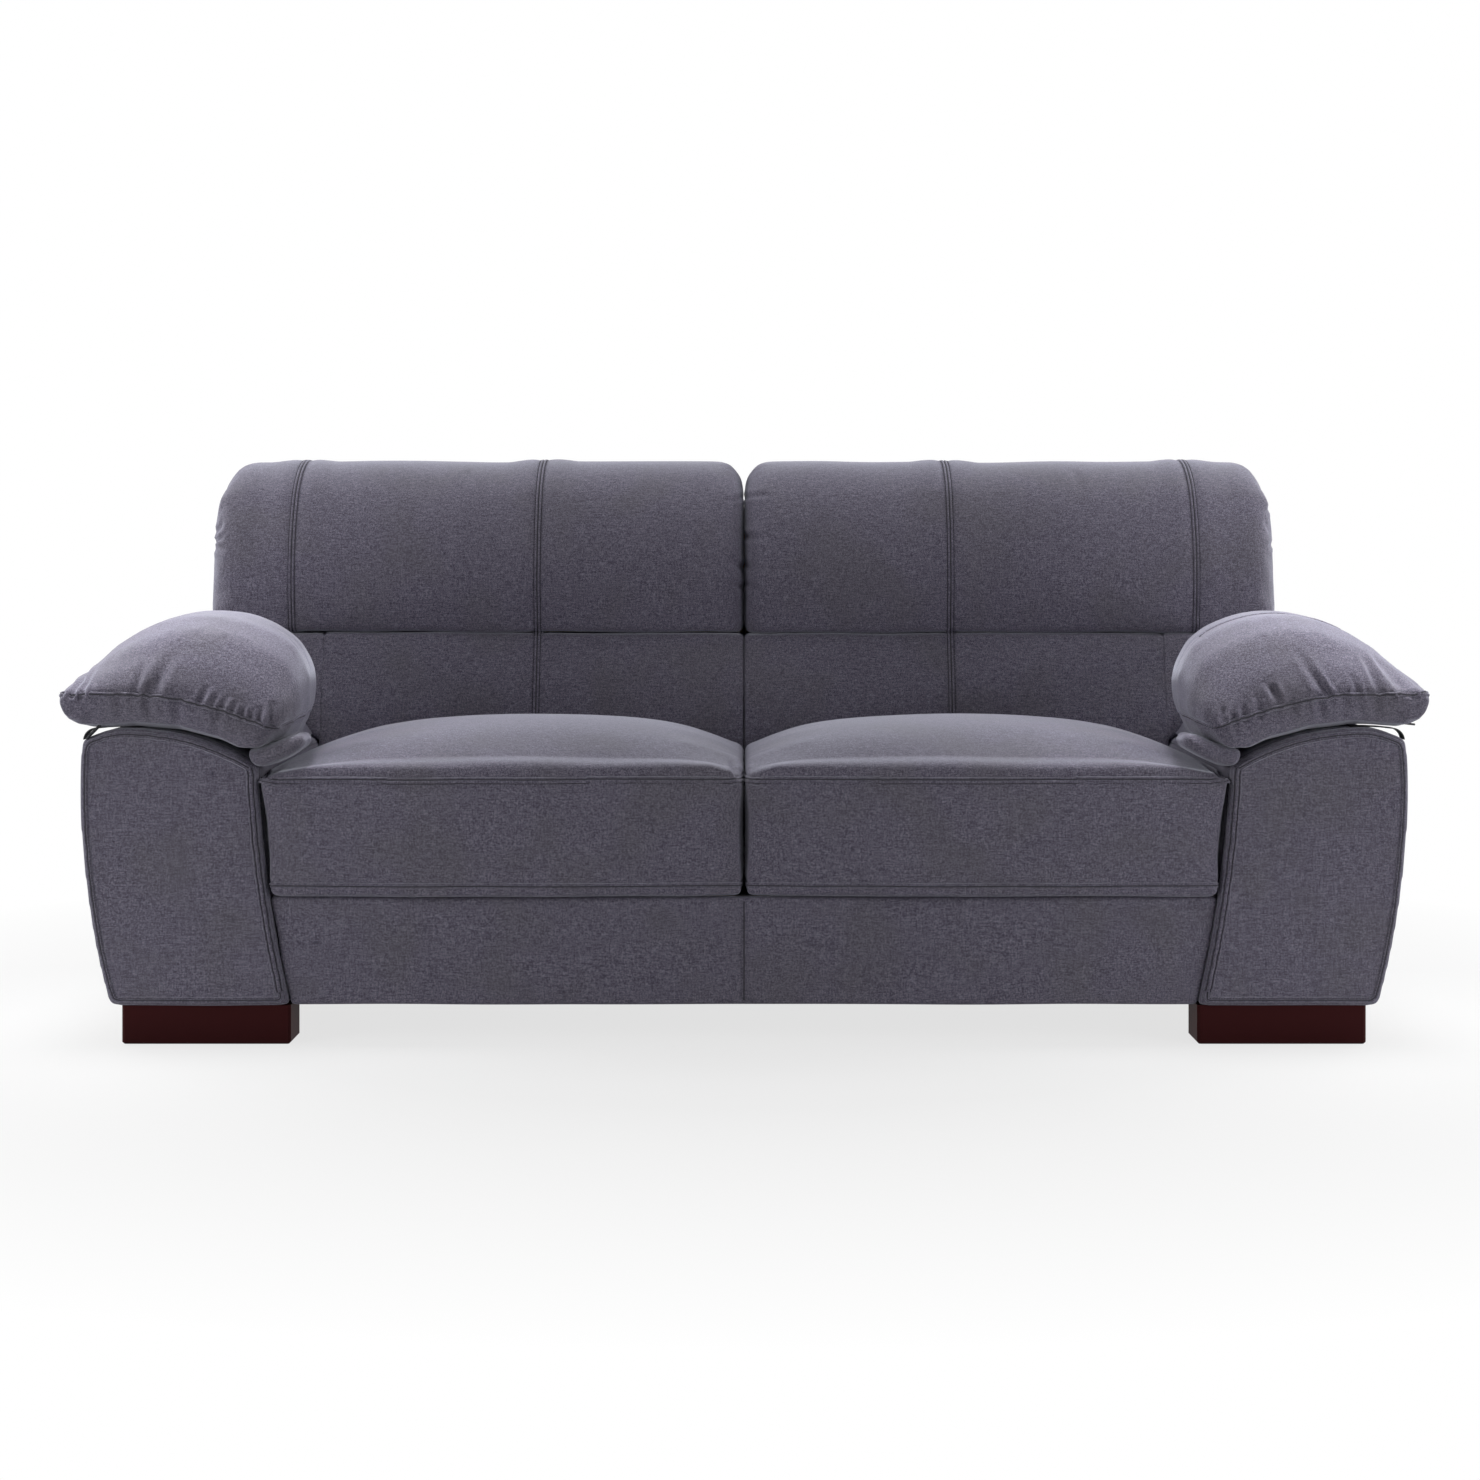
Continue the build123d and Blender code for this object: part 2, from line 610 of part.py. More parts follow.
# Each row: place across from the inner side, share of the width; share of the crown there.
crown_across_share = {
    "inner_seam": (0.0, 0.28),
    "inner_slope": (0.05, 0.58),
    "inner_turn": (0.15, 0.84),
    "crest": (0.46, 1.0),
    "outer_turn": (0.8, 0.82),
    "outer_slope": (0.92, 0.46),
    "outer_seam": (1.0, 0.1),
}
middle_gap = soft_gap / 2
core_length = seat_depth - 2 * core_skin
zip_width = shoulder_x - 2 * zip_inset
for name, side in sides.items():
    with BuildPart() as seat_cushion:
        for along, crown in crown_share:
            top = {
                place: (across * shoulder_x, seam_z + rise * crown * cushion_crown)
                for place, (across, rise) in crown_across_share.items()
            }
            station_y = arm_face_y - front_swell + along * (seat_depth + front_swell)
            with BuildSketch(Plane.XZ.offset(-station_y)):
                with BuildLine():
                    arc_by(side, top["inner_seam"], top["inner_slope"], top["inner_turn"])
                    arc_by(side, top["inner_turn"], top["crest"], top["outer_turn"])
                    arc_by(side, top["outer_turn"], top["outer_slope"], top["outer_seam"])
                    Polyline(
                        (side * shoulder_x, top["outer_seam"][1]),
                        (side * shoulder_x, deck_z),
                        (0, deck_z),
                        (0, top["inner_seam"][1]),
                    )
                make_face()
        loft(ruled=True)
        with BuildSketch(Plane.XZ.offset(-arm_face_y + front_swell)):
            add(seat_opening(soft_gap, back_height))
        extrude(amount=-seat_depth - front_swell, mode=Mode.INTERSECT)
        front_left = (side * middle_gap, arm_face_y)
        front_right = (side * (shoulder_x - soft_gap), arm_face_y)
        rear_left = (side * middle_gap, seat_back_y)
        rear_right = (side * (shoulder_x - soft_gap), seat_back_y)
        with BuildSketch(Plane.XY.offset(deck_z)):
            with BuildLine():
                ThreePointArc(
                    front_left,
                    (side * shoulder_x / 2, arm_face_y - front_swell),
                    front_right,
                )
                Line(front_right, rear_right)
                Line(rear_right, rear_left)
                Line(rear_left, front_left)
            make_face()
        extrude(amount=cushion_height + cushion_crown, mode=Mode.INTERSECT)
        with BuildSketch(Plane.XY.offset(deck_z + core_skin - seat_gap)):
            with Locations((side * shoulder_x / 2, arm_face_y + seat_depth / 2)):
                Rectangle(
                    shoulder_x - 2 * core_skin - inner_lean + 2 * seat_gap,
                    core_length + 2 * seat_gap,
                )
        extrude(amount=cushion_height - 2 * core_skin + 2 * seat_gap, mode=Mode.SUBTRACT)
    write(seat_cushion, "seat_cushion_" + name)

    with BuildPart() as seat_core:
        with BuildSketch(Plane.XY.offset(deck_z + core_skin)) as core_face:
            with Locations((side * shoulder_x / 2, arm_face_y + seat_depth / 2)):
                Rectangle(shoulder_x - 2 * core_skin - inner_lean, core_length)
            chamfer(core_face.vertices(), core_edge)
        extrude(amount=cushion_height - 2 * core_skin)
    write(seat_core, "seat_core_" + name)

    with BuildPart() as seat_zip:
        with BuildSketch(Plane.XZ.offset(-seat_back_y)):
            with Locations((side * shoulder_x / 2, deck_z + cushion_height / 2)):
                Rectangle(zip_width, zip_height)
                with Locations((side * (zip_width - pull_width) / 2, -pull_drop / 2)):
                    Rectangle(pull_width, pull_drop)
        extrude(amount=-zip_thick)
    write(seat_zip, "seat_zip_" + name)

# Back frame: posts on the rear rail and on the arms, a top rail and a lower rail.
post_front = panel_thick + seat_gap + post_depth
top_rail_z = back_frame_z - back_rail_height


def raked_face(low_z, high_z, back_depth, front_depth):
    """Slab inside the raked back, in a side view, between two heights and two depths."""
    return Polyline(
        (outside_y(low_z, back_depth), low_z),
        (outside_y(low_z, front_depth), low_z),
        (outside_y(high_z, front_depth), high_z),
        (outside_y(high_z, back_depth), high_z),
        close=True,
    )


post_back = panel_thick + seat_gap
inner_post_x = side_rail_x - post_width / 2
outer_post_x = back_x - side_panel - wing_gap - post_width / 2
post_foot_z = rail_top_z + deck_thick + 2 * web_step
with BuildPart() as back_posts:
    for post_x in (-inner_post_x, 0, inner_post_x):
        with BuildSketch(Plane.YZ.offset(post_x - post_width / 2)):
            with BuildLine():
                raked_face(post_foot_z, top_rail_z - seat_gap, post_back, post_front)
            make_face()
        extrude(amount=post_width)
write(back_posts, "back_posts")

with BuildPart() as wing_posts:
    for name, side in sides.items():
        with BuildSketch(Plane.YZ.offset(side * outer_post_x - post_width / 2)):
            with BuildLine():
                raked_face(shoulder_z, top_rail_z - seat_gap, post_back, post_front)
            make_face()
        extrude(amount=post_width)
        clear_of_arm(name, seat_gap)
write(wing_posts, "wing_posts")

with BuildPart() as back_top_rail:
    rail_reach = back_x - side_panel - wing_gap
    with BuildSketch(Plane.YZ.offset(-rail_reach)):
        with BuildLine():
            raked_face(top_rail_z, back_frame_z - seat_gap, post_back, post_front)
        make_face()
    extrude(amount=2 * rail_reach)
write(back_top_rail, "back_top_rail")

lower_rail_z = lower_rail_height - back_rail_height
with BuildPart() as back_lower_rail:
    for side in sides.values():
        inner_end = side * (post_width / 2 + seat_gap)
        outer_end = side * (side_rail_x - post_width - seat_gap)
        with BuildSketch(Plane.YZ.offset(inner_end)):
            with BuildLine():
                raked_face(lower_rail_z, lower_rail_height, post_back, post_back + rail_thick)
            make_face()
        extrude(amount=outer_end - inner_end)
write(back_lower_rail, "back_lower_rail")

# Back webbing: level straps across the front of the posts.
back_strap_count = 4
first_strap_z = lower_rail_height
strap_pitch = (top_rail_z - first_strap_z) / back_strap_count
with BuildPart() as back_webbing:
    for row in range(back_strap_count):
        strap_z = first_strap_z + strap_pitch * row
        strap_half = rail_reach if strap_z > outer_top_z + top_bulge else side_rail_x
        with BuildSketch(Plane.YZ.offset(-strap_half)):
            with BuildLine():
                raked_face(strap_z, strap_z + back_strap, post_front, post_front + web_thick)
            make_face()
        extrude(amount=2 * strap_half)
write(back_webbing, "back_webbing")

# Outside back: one panel, narrow between the arms and wide over them.
with BuildPart() as outside_back:
    with BuildSketch(Plane.XZ.offset(-rear_y)):
        add(seat_opening(seat_gap, back_frame_z - seat_gap))
        with Locations((0, (shoulder_z + back_frame_z) / 2)):
            Rectangle(2 * (back_x - side_panel), back_frame_z - shoulder_z - 2 * seat_gap)
        for arm_face in arm_faces.values():
            offset(arm_face, amount=seat_gap, mode=Mode.SUBTRACT)
    extrude(amount=back_depth)
    with BuildSketch(Plane.YZ.offset(-back_x)):
        with BuildLine():
            raked_face(foot_height, back_frame_z, 0, panel_thick)
        make_face()
    extrude(amount=2 * back_x, mode=Mode.INTERSECT)
write(outside_back, "outside_back")

# Foam slabs of the back, in front of the webbing.
foam_back = post_front + web_thick + seat_gap
foam_face_y = rear_y - foam_front_share * back_depth
valley_y = rear_y - valley_depth_share * back_depth
lumbar_top_z = valley_height - sew_gap
lumbar_back_y = foam_face_y - sew_gap
lumbar_foot = (cushion_back_y + lumbar_foot_inset, deck_z)
lumbar_top = (valley_y, lumbar_top_z)


def lumbar_arc():
    """Front of the lumbar pad and of the wing beside it, in a side view."""
    swell = raised_middle(lumbar_foot, lumbar_top, lumbar_swell)
    return ThreePointArc(lumbar_foot, (swell.X, swell.Y), lumbar_top)


for name, side in sides.items():
    foam_start = side * middle_gap
    foam_width = shoulder_x - soft_gap - middle_gap
    with BuildPart() as back_foam:
        with BuildSketch(Plane.YZ.offset(foam_start)):
            with BuildLine():
                Polyline(
                    (foam_face_y, deck_z),
                    (outside_y(deck_z, foam_back), deck_z),
                    (outside_y(back_frame_z, foam_back), back_frame_z),
                    (foam_face_y, back_frame_z),
                    close=True,
                )
            make_face()
        extrude(amount=side * foam_width)
        with BuildSketch(Plane.XZ.offset(-rear_y)):
            add(seat_opening(soft_gap, back_height))
        extrude(amount=sofa_depth / 2, mode=Mode.INTERSECT)
    write(back_foam, "back_foam_" + name)

    # The covered wing of the frame above the arm, notched under the head pillow.
    wing_start = side * (shoulder_x - soft_gap + sew_gap)
    wing_reach = back_x - side_panel - wing_gap - shoulder_x + soft_gap - sew_gap
    with BuildPart() as back_wing:
        with BuildSketch(Plane.YZ.offset(wing_start)):
            with BuildLine():
                lumbar_arc()
                Polyline(
                    lumbar_top,
                    (foam_face_y, lumbar_top_z),
                    (foam_face_y, back_frame_z),
                    (outside_y(back_frame_z, foam_back), back_frame_z),
                    (outside_y(deck_z, foam_back), deck_z),
                    lumbar_foot,
                )
            make_face()
        extrude(amount=side * wing_reach)
        clear_of_arm(name, seat_gap)
    write(back_wing, "back_wing_" + name)

    with BuildPart() as back_side:
        with BuildSketch(Plane.YZ.offset(side * (back_x - side_panel))):
            with BuildLine():
                lumbar_arc()
                Polyline(
                    lumbar_top,
                    (foam_face_y, lumbar_top_z),
                    (foam_face_y, back_frame_z - seat_gap),
                    (outside_y(back_frame_z, 0), back_frame_z - seat_gap),
                    (outside_y(deck_z, 0), deck_z),
                    lumbar_foot,
                )
            make_face()
        extrude(amount=side * side_panel)
        clear_of_arm(name, seat_gap)
    write(back_side, "back_side_panel_" + name)

# Lumbar pads: fibre pads between the deck and the valley, with an upright seam in the middle.
for name, side in sides.items():
    with BuildPart() as lumbar:
        with BuildSketch(Plane.YZ.offset(side * middle_gap)):
            with BuildLine():
                lumbar_arc()
                Polyline(
                    lumbar_top, (lumbar_back_y, lumbar_top_z), (lumbar_back_y, deck_z), lumbar_foot
                )
            make_face()
        extrude(amount=side * (shoulder_x - middle_gap))
        with BuildSketch(Plane.XZ.offset(-rear_y)):
            add(seat_opening(soft_gap, back_height))
        extrude(amount=sofa_depth, mode=Mode.INTERSECT)
        with BuildSketch(Plane.YZ.offset(side * middle_seam - channel_width / 2)):
            with BuildLine():
                front = lumbar_arc()
                offset(front, amount=channel_depth, side=Side.RIGHT, closed=True)
            make_face()
        extrude(amount=channel_width, mode=Mode.SUBTRACT)
    write(lumbar, "lumbar_pad_" + name)

# Head pillows: stuffed rolls that hook over the top rail, swollen between rounded ends.
pillow_foot_z = valley_height + sew_gap
hook_z = back_frame_z + sew_gap
end_steps = 3
end_keep_share = 0.2  # what is left of the roll over the rail at its very end
end_draw_share = 0.8  # how much of the swell is gone there
# Each row: place across, share of the width; how much of the swell is gone there.
middle_share = ((0.25, 0.03), (0.5, 0.0), (0.75, 0.03))


def pillow_outline(keep, draw):
    """A head pillow cut across: keep is the share of its roll, draw the share of swell that is gone."""
    top_z = hook_z + keep * (back_height - hook_z)
    back = draw * pillow_swell
    front_foot = (valley_y + back / 2, pillow_foot_z)
    shoulder_y = rear_y - shoulder_depth_share * back_depth + back / 2
    shoulder = (shoulder_y, top_z - keep * shoulder_drop)
    nape = (rear_y - back / 4, top_z - keep * nape_drop)
    face = raised_middle(front_foot, shoulder, pillow_swell - back)
    with BuildLine() as outline:
        ThreePointArc(front_foot, (face.X, face.Y), shoulder)
        ThreePointArc(shoulder, ((shoulder[0] + nape[0]) / 2, top_z), nape)
        Polyline(
            nape,
            (outside_y(back_frame_z, 0), hook_z),
            (lumbar_back_y, hook_z),
            (lumbar_back_y, pillow_foot_z),
            front_foot,
        )
    return outline.edges()


def rounded_end(start_x, radius, inward):
    """Stations of a rounded end: places on a quarter circle, with the roll and the swell there."""
    for step in range(end_steps + 1):
        turn = radians(90 * step / end_steps)
        keep = end_keep_share + (1 - end_keep_share) * sin(turn)
        yield (start_x + inward * radius * (1 - cos(turn)), keep, end_draw_share * (1 - sin(turn)))


pillow_length = back_x - middle_gap
pillow_stations = (
    list(rounded_end(middle_gap, inner_round, 1))
    + [(middle_gap + place * pillow_length, 1, draw) for place, draw in middle_share]
    + list(reversed(list(rounded_end(back_x, outer_round, -1))))
)
with BuildSketch() as full_pillow:
    make_face(pillow_outline(1, 0))

for name, side in sides.items():
    with BuildPart() as pillow:
        for place, keep, draw in pillow_stations:
            with BuildSketch(Plane.YZ.offset(side * place)):
                make_face(pillow_outline(keep, draw))
        loft(ruled=True)
        for seam_x in (middle_seam, outer_seam):
            with BuildSketch(Plane.YZ.offset(side * seam_x - channel_width / 2)):
                offset(full_pillow.sketch_local, amount=cut_over)
                offset(full_pillow.sketch_local, amount=-channel_depth, mode=Mode.SUBTRACT)
            extrude(amount=channel_width, mode=Mode.SUBTRACT)
    write(pillow, "head_pillow_" + name)
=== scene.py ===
import math

import bmesh
import bpy
import numpy as np
from mathutils import Matrix, Vector, noise
from mathutils.bvhtree import BVHTree
from mathutils.kdtree import KDTree


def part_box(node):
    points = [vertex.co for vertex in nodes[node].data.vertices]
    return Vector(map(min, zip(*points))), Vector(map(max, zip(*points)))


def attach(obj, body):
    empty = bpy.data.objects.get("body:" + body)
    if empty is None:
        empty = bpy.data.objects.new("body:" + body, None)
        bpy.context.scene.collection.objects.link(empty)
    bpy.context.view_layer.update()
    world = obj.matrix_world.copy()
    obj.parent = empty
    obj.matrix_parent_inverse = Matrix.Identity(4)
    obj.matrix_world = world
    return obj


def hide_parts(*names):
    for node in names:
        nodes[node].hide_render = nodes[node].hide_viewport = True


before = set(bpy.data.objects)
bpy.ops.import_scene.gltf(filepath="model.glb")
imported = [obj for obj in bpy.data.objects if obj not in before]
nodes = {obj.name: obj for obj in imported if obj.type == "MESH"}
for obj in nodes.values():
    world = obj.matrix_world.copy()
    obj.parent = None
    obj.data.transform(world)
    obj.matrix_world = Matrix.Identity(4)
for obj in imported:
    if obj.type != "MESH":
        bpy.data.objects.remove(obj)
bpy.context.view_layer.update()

# Camera: a little above the arm pads, straight in front of the sofa, 4.43 m from its middle.
camera_lens = bpy.data.cameras.new("studio_camera")
camera_lens.lens = 63.24
camera_lens.sensor_width = 36
camera_lens.shift_x = -0.0027
camera_lens.shift_y = -0.1149
camera = bpy.data.objects.new("studio_camera", camera_lens)
camera.location = (0, -4.43, 0.73)
camera.rotation_euler = (math.pi / 2, 0, 0)
bpy.context.scene.collection.objects.link(camera)
bpy.context.scene.camera = camera

# Feet: solid hardwood blocks, stained dark mahogany under a satin lacquer, each bolted up into
# an arm. The grain runs along the block, and the lacquer is rubbed a little thin on the edges.


def linear(hex_colour):
    """Linear colour of an sRGB hex value."""
    parts = [int(hex_colour[i : i + 2], 16) / 255 for i in (1, 3, 5)]
    return (*[p / 12.92 if p < 0.04045 else ((p + 0.055) / 1.055) ** 2.4 for p in parts], 1)


def put(tree, kind, links=(), **settings):
    """Adds a node with its settings, and links or sets its inputs."""
    made = tree.nodes.new(kind)
    for name, value in settings.items():
        setattr(made, name, value)
    for place, value in dict(links).items():
        if isinstance(value, bpy.types.NodeSocket):
            tree.links.new(value, made.inputs[place])
        else:
            made.inputs[place].default_value = value
    return made


def surface(name):
    """A new material, its tree, its shader and the object's own coordinates."""
    made = bpy.data.materials.new(name)
    made.use_nodes = True
    tree = made.node_tree
    return made, tree, tree.nodes["Principled BSDF"], put(tree, "ShaderNodeTexCoord")


def ramp(tree, factor, *stops):
    """A colour ramp over sRGB hex colours."""
    made = put(tree, "ShaderNodeValToRGB", {0: factor})
    for place, colour in stops[1:-1]:
        made.color_ramp.elements.new(place)
    for element, (place, colour) in zip(made.color_ramp.elements, stops):
        element.position = place
        element.color = linear(colour)
    return made.outputs[0]


def raised(tree, height, strength, distance):
    """Lets a pattern stand up from the surface, by a distance in metres."""
    relief = put(tree, "ShaderNodeBump", {"Strength": strength, "Distance": distance,
                 "Height": height})
    tree.links.new(relief.outputs[0], tree.nodes["Principled BSDF"].inputs["Normal"])


def finish_with(material, *names):
    """Gives CAD nodes a material."""
    for name in names:
        mesh = nodes[name].data
        mesh.materials.clear()
        mesh.materials.append(material)


mahogany_stain, tree, shader, place = surface("mahogany_stained_hardwood")
grain_place = put(tree, "ShaderNodeMapping", {0: place.outputs["Object"], 3: (4, 90, 130)})
grain = put(tree, "ShaderNodeTexNoise", {0: grain_place.outputs[0], "Scale": 1.0, "Detail": 6.0,
            "Roughness": 0.6, "Distortion": 0.7})
pore_place = put(tree, "ShaderNodeMapping", {0: place.outputs["Object"], 3: (60, 900, 900)})
pores = put(tree, "ShaderNodeTexNoise", {0: pore_place.outputs[0], "Scale": 1.0, "Detail": 2.0})
tone = put(tree, "ShaderNodeMath", {0: grain.outputs[0], 1: pores.outputs[0]}, operation="MULTIPLY")
worn = put(tree, "ShaderNodeNewGeometry")
edge = put(tree, "ShaderNodeMapRange", {0: worn.outputs["Pointiness"], 1: 0.52, 2: 0.62})
stain = ramp(tree, tone.outputs[0], (0.1, "#0b0608"), (0.25, "#13090b"), (0.42, "#1e0d0f"))
rubbed = put(tree, "ShaderNodeMix", {0: edge.outputs[0], 6: stain, 7: linear("#38191a")},
             data_type="RGBA")
tree.links.new(rubbed.outputs[2], shader.inputs["Base Color"])
shader.inputs["Roughness"].default_value = 0.46
shader.inputs["Specular IOR Level"].default_value = 0.02
raised(tree, pores.outputs[0], 0.15, 0.0004)
finish_with(mahogany_stain, "foot_front_left", "foot_front_right", "foot_rear_left",
            "foot_rear_right")

# Bolts: hexagon-headed steel bolts of the feet and the frame, zinc plated, which leaves a dull
# grey spangle on them.
zinc_plate, tree, shader, place = surface("zinc_plated_steel")
spangle = put(tree, "ShaderNodeTexNoise", {0: place.outputs["Object"], "Scale": 900.0,
              "Detail": 3.0})
tree.links.new(ramp(tree, spangle.outputs[0], (0.3, "#a9aaa6"), (0.7, "#cfcfc9")),
               shader.inputs["Base Color"])
shader.inputs["Metallic"].default_value = 1.0
rough = put(tree, "ShaderNodeMapRange", {0: spangle.outputs[0], 3: 0.28, 4: 0.45})
tree.links.new(rough.outputs[0], shader.inputs["Roughness"])
finish_with(zinc_plate, "foot_bolts", "frame_bolts")

# Frame: sawn pine rails, posts, boards and blocks, planed but not finished, glued and stapled.
# Its growth rings lie four to five millimetres apart, under a fine fibre.
sawn_pine, tree, shader, place = surface("sawn_pine")
ring_place = put(tree, "ShaderNodeMapping", {0: place.outputs["Object"], 3: (6, 26, 70)})
rings = put(tree, "ShaderNodeTexWave", {0: ring_place.outputs[0], "Scale": 1.0, "Distortion": 5.0,
            "Detail": 3.0, "Detail Scale": 1.4}, bands_direction="Z")
fibre_place = put(tree, "ShaderNodeMapping", {0: place.outputs["Object"], 3: (40, 400, 700)})
fibre = put(tree, "ShaderNodeTexNoise", {0: fibre_place.outputs[0], "Scale": 1.0, "Detail": 4.0})
mixed = put(tree, "ShaderNodeMix", {0: 0.4, 2: rings.outputs[1], 3: fibre.outputs[0]})
tree.links.new(ramp(tree, mixed.outputs[0], (0.2, "#b98a55"), (0.5, "#d0a672"), (0.85, "#e0bf8e")),
               shader.inputs["Base Color"])
shader.inputs["Roughness"].default_value = 0.72
raised(tree, fibre.outputs[0], 0.3, 0.0006)
finish_with(sawn_pine, *[n for n in nodes if n.startswith((
    "arm_front_board", "arm_rear_board", "arm_rails", "arm_base", "front_rail", "rear_rail",
    "side_rail", "centre_rail", "corner_blocks", "back_posts", "wing_posts", "back_top_rail",
    "back_lower_rail"))])

# Seat foam and back foam: cream polyurethane slabs, cut from a block, so that open cells show on
# every side. The seat's lie loose in their covers, and the back's stand before the webbing.
cut_foam, tree, shader, place = surface("cut_polyurethane_foam")
cells = put(tree, "ShaderNodeTexVoronoi", {0: place.outputs["Object"], "Scale": 600.0})
tree.links.new(ramp(tree, cells.outputs[0], (0.0, "#c9b98a"), (0.5, "#e9dfb9"), (1.0, "#f1e9ca")),
               shader.inputs["Base Color"])
shader.inputs["Roughness"].default_value = 0.95
raised(tree, cells.outputs[0], 0.4, 0.001)
finish_with(cut_foam, "seat_core_left", "seat_core_right", "back_foam_left", "back_foam_right")

# Webbing and pad straps: black elastic tape, woven with ribs across it. The ribs are drawn about
# twelve millimetres apart, coarser than real ones, so that they show.
elastic_tape, tree, shader, place = surface("woven_elastic_tape")
ribs = put(tree, "ShaderNodeTexWave", {0: place.outputs["Object"], "Scale": 52.0,
           "Distortion": 0.3}, bands_direction="DIAGONAL")
tree.links.new(ramp(tree, ribs.outputs[1], (0.2, "#17171a"), (0.8, "#2b2b30")),
               shader.inputs["Base Color"])
shader.inputs["Roughness"].default_value = 0.8
raised(tree, ribs.outputs[1], 0.5, 0.0008)
finish_with(elastic_tape, "seat_webbing", "back_webbing", "pad_straps")

# Dust cover and deck cloth: black spunbond, pressed with small points, stapled under and over
# the seat frame.
spunbond, tree, shader, place = surface("black_spunbond_cloth")
points = put(tree, "ShaderNodeTexVoronoi", {0: place.outputs["Object"], "Scale": 330.0,
             "Randomness": 0.15})
hairs = put(tree, "ShaderNodeTexNoise", {0: place.outputs["Object"], "Scale": 260.0, "Detail": 5.0,
            "Distortion": 2.0})
pressed = put(tree, "ShaderNodeMath", {0: points.outputs[0], 1: hairs.outputs[0]},
              operation="MULTIPLY")
tree.links.new(ramp(tree, pressed.outputs[0], (0.05, "#101012"), (0.4, "#26262a")),
               shader.inputs["Base Color"])
shader.inputs["Roughness"].default_value = 0.85
raised(tree, pressed.outputs[0], 0.4, 0.0006)
finish_with(spunbond, "dust_cover", "deck_cloth")
for name, rest in (("dust_cover", "front_rail"), ("deck_cloth", "seat_webbing")):
    low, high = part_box(name)

# Cushion zips: nylon coil zips in dark grey tape, sewn into the cushions' backs, so that the
# cover comes off its core.
nylon_zip, tree, shader, place = surface("nylon_coil_zip")
coil = put(tree, "ShaderNodeTexWave", {0: place.outputs["Object"], "Scale": 210.0})
tree.links.new(ramp(tree, coil.outputs[1], (0.3, "#1d1d22"), (0.7, "#3a3a42")),
               shader.inputs["Base Color"])
shader.inputs["Roughness"].default_value = 0.5
raised(tree, coil.outputs[1], 0.6, 0.0008)
finish_with(nylon_zip, "seat_zip_left", "seat_zip_right")

# Upholstery: a tight plain weave of polyester in two blue-grey yarns, so that it looks mottled.
# Its threads lie a millimetre apart. Crossings, flecks and the slubs of the two yarns are drawn
# two to three times as coarse, so that they show.
thread_pitch = 0.0032
weave, tree, shader, place = surface("plain_woven_polyester")
turns = put(tree, "ShaderNodeVectorMath", {0: place.outputs["Object"],
            1: (math.tau / thread_pitch,) * 3}, operation="MULTIPLY")
waves = put(tree, "ShaderNodeVectorMath", {0: turns.outputs[0]}, operation="SINE")
split = put(tree, "ShaderNodeSeparateXYZ", {0: waves.outputs[0]})
x, y, z = split.outputs
ahead = put(tree, "ShaderNodeCombineXYZ", {0: y, 1: z, 2: x})
behind = put(tree, "ShaderNodeCombineXYZ", {0: z, 1: x, 2: y})
crossed = put(tree, "ShaderNodeVectorMath", {0: ahead.outputs[0], 1: behind.outputs[0]},
              operation="MULTIPLY")
facing = put(tree, "ShaderNodeVectorMath", {0: place.outputs["Normal"], 1: place.outputs["Normal"]},
             operation="MULTIPLY")
facing = put(tree, "ShaderNodeVectorMath", {0: facing.outputs[0], 1: facing.outputs[0]},
             operation="MULTIPLY")
threads = put(tree, "ShaderNodeVectorMath", {0: crossed.outputs[0], 1: facing.outputs[0]},
              operation="DOT_PRODUCT")
tone = put(tree, "ShaderNodeMath", {0: threads.outputs["Value"], 1: 0.03}, operation="MULTIPLY")
for run, share in (((500, 500, 500), 0.5), ((85, 560, 560), 0.28), ((560, 560, 85), 0.22)):
    along = put(tree, "ShaderNodeMapping", {0: place.outputs["Object"], 3: run})
    slub = put(tree, "ShaderNodeTexNoise", {0: along.outputs[0], "Scale": 1.0, "Detail": 2.0,
               "Roughness": 0.65})
    tone = put(tree, "ShaderNodeMath", {0: slub.outputs[0], 1: share, 2: tone.outputs[0]},
               operation="MULTIPLY_ADD")
fabric_colour = ramp(tree, tone.outputs[0], (0.38, "#403c49"), (0.5, "#605c6a"), (0.62, "#827e8d"))
dye_lot = put(tree, "ShaderNodeTexNoise", {0: place.outputs["Object"], "Scale": 9.0, "Detail": 2.0})
warm = put(tree, "ShaderNodeMapRange", {0: dye_lot.outputs[0], 1: 0.46, 2: 0.66, 3: 0.0, 4: 0.25})
tinted = put(tree, "ShaderNodeMix", {0: warm.outputs[0], 6: fabric_colour, 7: linear("#595758")},
             data_type="RGBA")
tree.links.new(tinted.outputs[2], shader.inputs["Base Color"])
shader.inputs["Roughness"].default_value = 0.92
shader.inputs["Specular IOR Level"].default_value = 0.2
shader.inputs["Sheen Weight"].default_value = 0.5
shader.inputs["Sheen Roughness"].default_value = 0.45
shader.inputs["Sheen Tint"].default_value = linear("#dfe2f0")
raised(tree, tone.outputs[0], 0.5, 0.0009)
finish_with(weave, *[n for n in nodes if nodes[n].data.materials[0] is None or
            nodes[n].data.materials[0].name.startswith("woven_upholstery")])

# Sewing thread: bonded polyester, darker than the cloth, of two plies twisted at a low angle. The
# same dark colour is laid on the grooves where two cloths meet, as painted shade of the gap there.
thread_and_groove_shade, tree, shader, place = surface("polyester_thread_and_groove_shade")
twist = put(tree, "ShaderNodeTexWave", {0: place.outputs["Object"], "Scale": 420.0,
            "Distortion": 1.0}, bands_direction="DIAGONAL")
tree.links.new(ramp(tree, twist.outputs[1], (0.2, "#18171d"), (0.8, "#2c2b34")),
               shader.inputs["Base Color"])
shader.inputs["Roughness"].default_value = 0.75
raised(tree, twist.outputs[1], 0.3, 0.0002)

